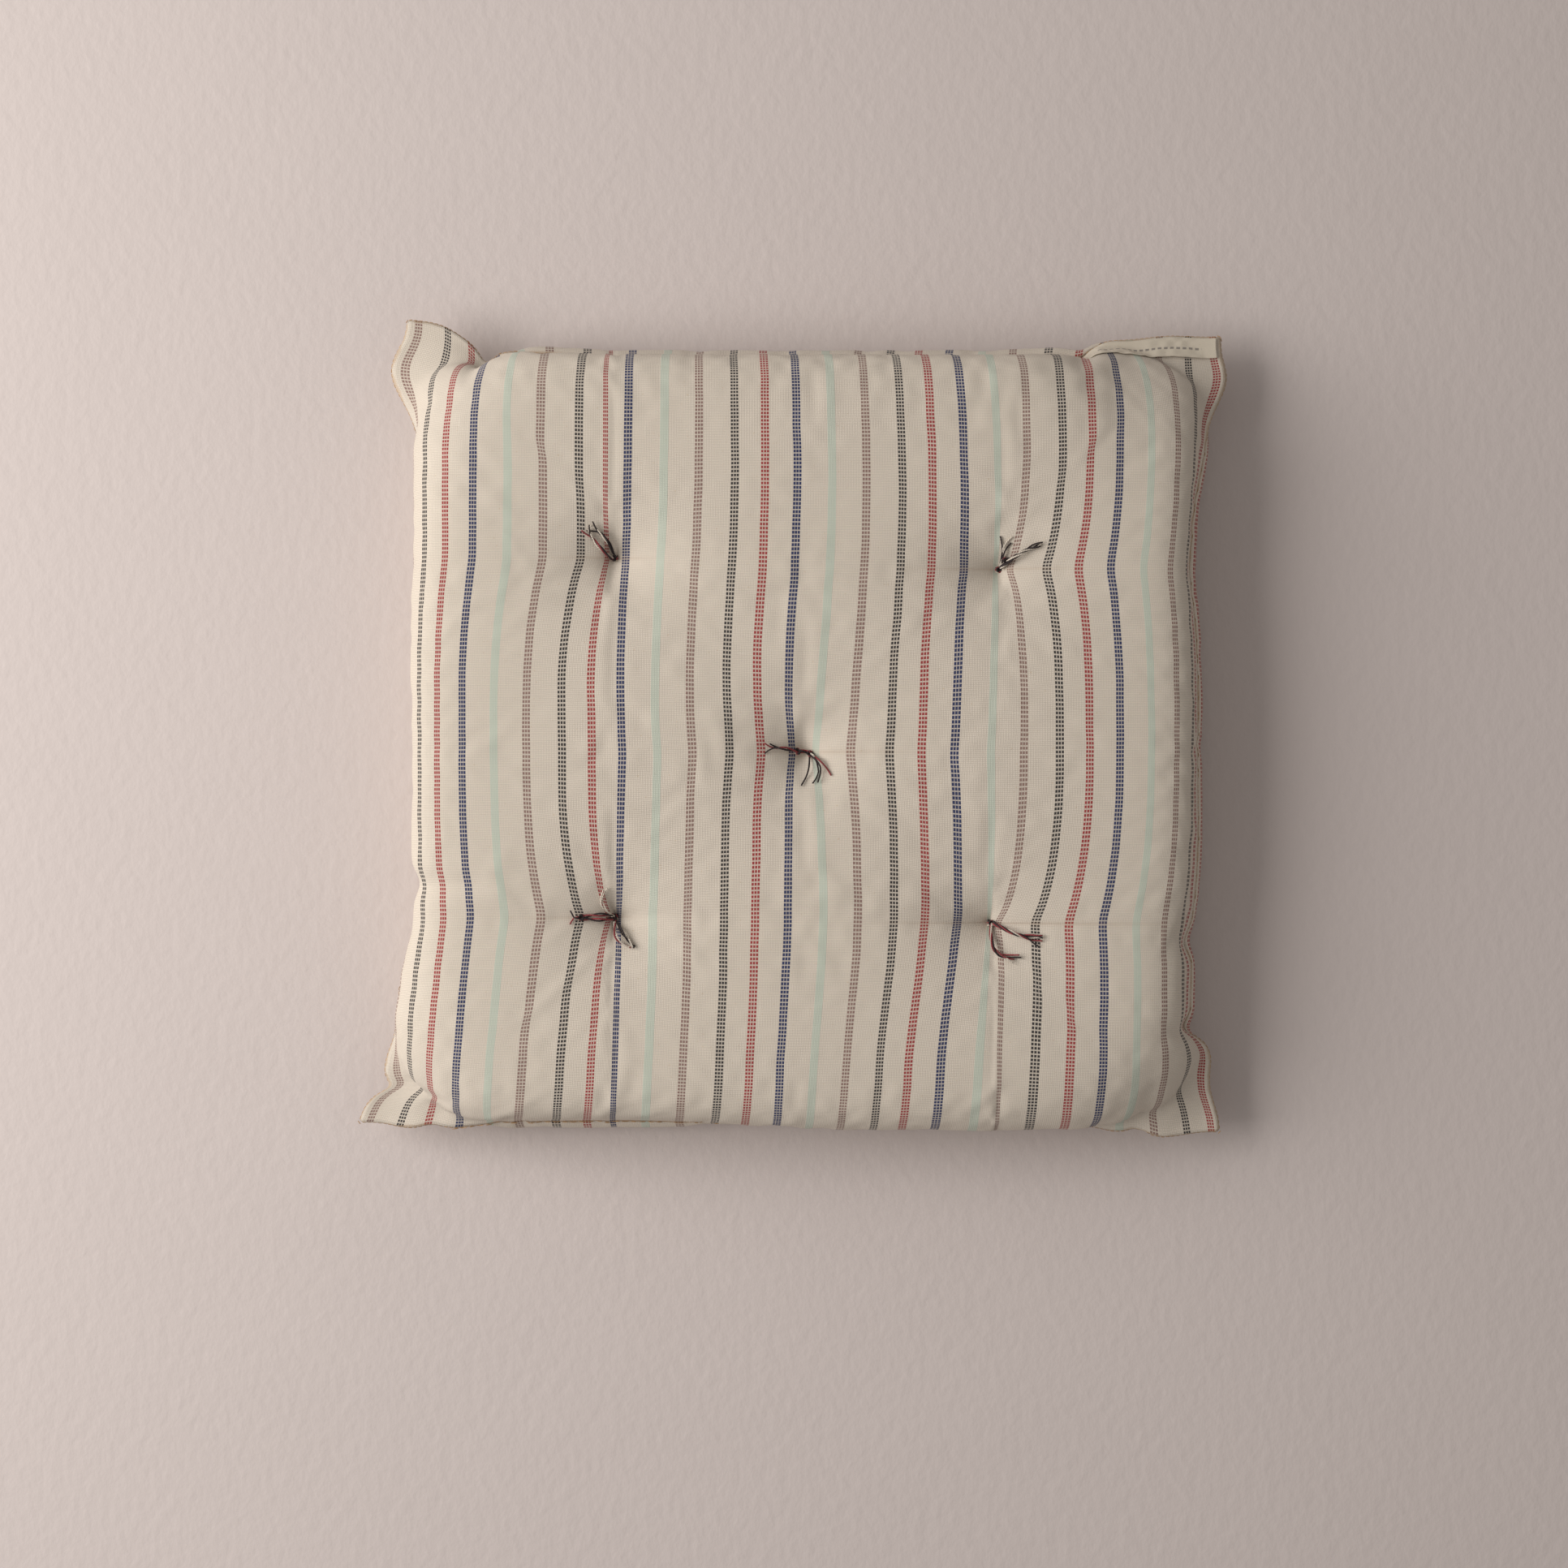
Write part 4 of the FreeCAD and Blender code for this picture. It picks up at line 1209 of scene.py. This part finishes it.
class CUSHION_OT_filling(bpy.types.Operator):
    """Fill the casing with a pad of fibre that stops short of the ears"""

    bl_idname = "cushion.filling"
    bl_label = "Filling"

    def execute(self, context):
        front, back = face_grid("front_panel_cloth"), face_grid("back_panel_cloth")
        half_span = context.scene.cushion_casing.cloth_span * MM / 2
        line = np.linspace(-1, 1, PAD_CELLS + 1)
        a, b = np.meshgrid(line, line, indexing="ij")
        reach = np.maximum(np.abs(a), np.abs(b))
        round_to = np.hypot(a, b) / np.maximum(reach, 1e-9)
        corner = np.maximum(round_to - 1, 0) / DIAGONAL_EXCESS * reach**2
        shrink = 1 / (1 + PAD_ROUNDING * corner)
        across, along = a * shrink * PAD_REACH, b * shrink * PAD_REACH
        for (side_x, side_y), place, notch, width, _ in PUCKERS:
            run = ((b if side_x else a) - place) * half_span
            near = np.maximum(a * side_x + b * side_y, 0) ** 8
            back_off = 1 - max(notch, 0.0) * PAD_BACK_OFF * near * bell(run, width + 6.0)
            across = across * (back_off if side_x else 1)
            along = along * (back_off if side_y else 1)
        top = surface(front - face_normals(front) * PAD_COVER, across, along)
        bottom = surface(back + face_normals(back) * PAD_COVER, across, along)
        middle = (top + bottom) / 2
        wall = np.sqrt(np.maximum(1 - reach**8, 0))[..., None]
        half = (top - bottom) / 2
        half[..., 2] = np.maximum(half[..., 2], 0.0006)
        up, down = middle + half * wall, middle - half * wall
        for pad_face in (up, down):
            keep_behind_seam(pad_face, front, across, along)
        points, faces = joined(*casing_grid(PAD_CELLS), up, down)
        mesh = new_mesh("fibre_filling_pad", points, faces)
        pad = new_piece("fibre_filling_pad", mesh, fibre_filling())
        take_place(pad, "fibre_filling", "filling")
        return {"FINISHED"}


class CUSHION_OT_seams(bpy.types.Operator):
    """Run the machine stitches round the seam"""

    bl_idname = "cushion.seams"
    bl_label = "Seams"

    def execute(self, context):
        trim = context.scene.cushion_trim
        for kind, rise, seed in (("needle", 0.0003, 3), ("bobbin", -0.0003, 11)):
            values = {
                "Pitch": trim.stitch,
                "Length": trim.stitch * 0.82,
                "Thickness": trim.thread,
                "Slant": 0.12,
                "Seed": seed,
            }
            line = seam_line(0.0001, rise)
            piece = stitched("seam_" + kind + "_stitches", line, True, values)
            take_place(piece, "seam_thread", "seam_" + kind + "_thread")
        return {"FINISHED"}


class CUSHION_OT_closing(bpy.types.Operator):
    """Close the opening that the filling went in by with hand stitches"""

    bl_idname = "cushion.closing"
    bl_label = "Closing stitches"

    def execute(self, context):
        trim = context.scene.cushion_trim
        low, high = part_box("closing_thread")
        line = seam_line(0.0005, 0.0)
        bottom = line[: face_grid("front_panel_cloth").shape[0]]
        part = bottom[(bottom[:, 0] >= low.x) & (bottom[:, 0] <= high.x)]
        values = {
            "Pitch": trim.hand_stitch,
            "Length": trim.hand_stitch * 0.9,
            "Thickness": trim.thread * 1.2,
            "Slant": 0.45,
            "Seed": 19,
        }
        piece = stitched("closing_stitches", part, False, values)
        take_place(piece, "seam_thread", "closing_thread")
        return {"FINISHED"}


class CUSHION_OT_label(bpy.types.Operator):
    """Lay the unprinted tape label along the top of the right-hand ear"""

    bl_idname = "cushion.label"
    bl_label = "Label"

    def execute(self, context):
        trim = context.scene.cushion_trim
        front = face_grid("front_panel_cloth")
        columns, rows = 60, 8
        # Walks in from the ear along the seam, then down the cloth, to lay the tape at true size.
        run = np.linspace(1.0 - 0.012, 0.5, 400)
        edge = surface(front, run, np.full_like(run, 0.975))
        at = np.interp(np.linspace(trim.label_length, 0, columns + 1), run_along(edge), run)
        drop = np.linspace(1.0 - 0.004, 0.8, 80)
        across, down = np.meshgrid(at, drop, indexing="ij")
        strip = surface(front, across, down)
        shares = np.linspace(0, 1, columns + 1), np.linspace(0, 1, rows + 1)
        s, t = np.meshgrid(*shares, indexing="ij")
        along = np.empty_like(s)
        for column in range(columns + 1):
            depth = (1 - t[column]) * trim.label_depth
            along[column] = np.interp(depth, run_along(strip[column]), drop)
        places = surface(front, np.repeat(at[:, None], rows + 1, axis=1), along)
        places[..., 2] += 0.0012 + 0.0008 * np.sin(np.pi * s) * (1 - t)
        grid = np.arange(s.size).reshape(s.shape)
        mesh = new_mesh("label_tape_cloth", places.reshape(-1, 3), quads(grid, False))
        set_map(mesh, "tape", np.stack([s.ravel(), t.ravel()], axis=-1))
        label = new_piece("label_tape_cloth", mesh, label_cotton())
        give_wall(label, trim.label_cloth, 0.0)
        take_place(label, "label_cotton", "label_tape")
        return {"FINISHED"}


class CUSHION_OT_ties(bpy.types.Operator):
    """Tie the cushion through in five places with three shades of yarn"""

    bl_idname = "cushion.ties"
    bl_label = "Ties"

    def execute(self, context):
        trim = context.scene.cushion_trim
        tints = {shade: getattr(trim, shade) for shade in SHADES}
        top, under = Top("front_panel_cloth", True), Top("back_panel_cloth", False)
        chance = np.random.default_rng(41)
        for index, (name, tie_x, tie_y, _, _) in enumerate(TIES):
            x, y = tie_x / MM, tie_y / MM
            centre = Vector((x, y, top.at(x, y)))
            strands = {shade: Strands() for shade in SHADES}
            paths = list(leg_paths(centre.z, under.at(x, y), centre, trim))
            for right, up in KNOTS[name]:
                a, b = x + right / MM, y + up / MM
                paths += knot_paths(Vector((a, b, top.at(a, b))), trim, 0.9 * index, chance)
            for tail in TAILS[name]:
                paths += tail_paths(top, centre, tail, trim, chance)
            for shade, path, radius in paths:
                strands[shade].add(path, radius)
            for shade in SHADES:
                node = name + "_tie_" + shade
                piece = strands[shade].piece(node + "_yarn", yarn(shade, tints[shade]))
                take_place(piece, "yarn_" + shade, node)
        return {"FINISHED"}


class CUSHION_OT_stage(bpy.types.Operator):
    """Lay the pale floor and set the soft light and the camera"""

    bl_idname = "cushion.stage"
    bl_label = "Stage"

    def execute(self, context):
        stage = context.scene.cushion_stage
        scene = context.scene
        half = 4.0
        corners = [(-half, -half, 0), (half, -half, 0), (half, half, 0), (-half, half, 0)]
        material, wires, shader = new_material("stage_floor_plaster")
        place = wires.object_place()
        wires.put(shader["Base Color"], toned(wires, stage.floor, place, 0.03, 0.01))
        shader["Roughness"].default_value = 0.9
        shader["Specular IOR Level"].default_value = 0.1
        grain = wires.noise(wires.scaled(place, 0.16, 0.12, 0.16), 3.0)
        use_bump(wires, shader, grain, 0.0012, 0.35)
        floor = new_piece("floor", new_mesh("floor", corners, [(0, 1, 2, 3)]), material)
        floor.location.z = CAD_LOW.z
        key = bpy.data.lights.new("key_light", "AREA")
        key.shape = "SQUARE"
        key.size = 1.5
        key.energy = stage.key
        key.color = (1.0, 0.975, 0.955)
        lamp = bpy.data.objects.new("key_light", key)
        lamp.location = (-1.55, 0.18, 1.08)
        lamp.rotation_mode = "QUATERNION"
        lamp.rotation_quaternion = (-lamp.location).to_track_quat("-Z", "Y")
        scene.collection.objects.link(lamp)
        world = bpy.data.worlds.new("studio")
        world.use_nodes = True
        wires = Wires(world.node_tree)
        glow = world.node_tree.nodes["Background"]
        glow.inputs["Color"].default_value = (1.0, 0.96, 0.93, 1.0)
        glow.inputs["Strength"].default_value = stage.fill
        seen = wires.node("ShaderNodeBackground", {"Color": (0.62, 0.575, 0.545, 1.0)})
        direct = wires.node("ShaderNodeLightPath").outputs["Is Camera Ray"]
        parts = {0: direct, 1: glow.outputs[0], 2: seen.outputs[0]}
        room = wires.node("ShaderNodeMixShader", parts).outputs[0]
        wires.put(world.node_tree.nodes["World Output"].inputs["Surface"], room)
        scene.world = world
        scene.view_settings.view_transform = "Standard"
        camera = bpy.data.cameras.new("camera")
        camera.lens = stage.lens
        camera.sensor_width = 36.0
        camera.clip_end = 50.0
        holder = bpy.data.objects.new("camera", camera)
        away = stage.view * stage.lens / camera.sensor_width
        x, y, z = VIEW_MIDDLE
        holder.location = (x, y, CAD_LOW.z + z + away)
        holder.rotation_mode = "QUATERNION"
        scene.collection.objects.link(holder)
        scene.camera = holder
        return {"FINISHED"}


class CUSHION_PT_panel(bpy.types.Panel):
    """Lists the steps that make the cushion"""

    bl_idname = "CUSHION_PT_panel"
    bl_label = "Floor Cushion"
    bl_space_type = "VIEW_3D"
    bl_region_type = "UI"
    bl_category = "Cushion"

    def draw(self, context):
        for step in STEPS:
            self.layout.operator(step.bl_idname)


GROUPS = {
    "cushion_casing": CushionCasingSizes,
    "cushion_cloth": CushionClothColours,
    "cushion_trim": CushionTrimSizes,
    "cushion_stage": CushionStageSizes,
}
STEPS = (
    CUSHION_OT_stage,
    CUSHION_OT_casing,
    CUSHION_OT_filling,
    CUSHION_OT_seams,
    CUSHION_OT_closing,
    CUSHION_OT_label,
    CUSHION_OT_ties,
)


def register():
    for group in GROUPS.values():
        bpy.utils.register_class(group)
    for name, group in GROUPS.items():
        setattr(bpy.types.Scene, name, PointerProperty(type=group))
    for step in STEPS:
        bpy.utils.register_class(step)
    bpy.utils.register_class(CUSHION_PT_panel)


def unregister():
    bpy.utils.unregister_class(CUSHION_PT_panel)
    for step in reversed(STEPS):
        bpy.utils.unregister_class(step)
    for name, group in GROUPS.items():
        delattr(bpy.types.Scene, name)
        bpy.utils.unregister_class(group)


def main():
    register()
    bpy.ops.cushion.stage()
    bpy.ops.cushion.casing()
    bpy.ops.cushion.filling()
    bpy.ops.cushion.seams()
    bpy.ops.cushion.closing()
    bpy.ops.cushion.label()
    bpy.ops.cushion.ties()


if __name__ == "__main__":
    main()
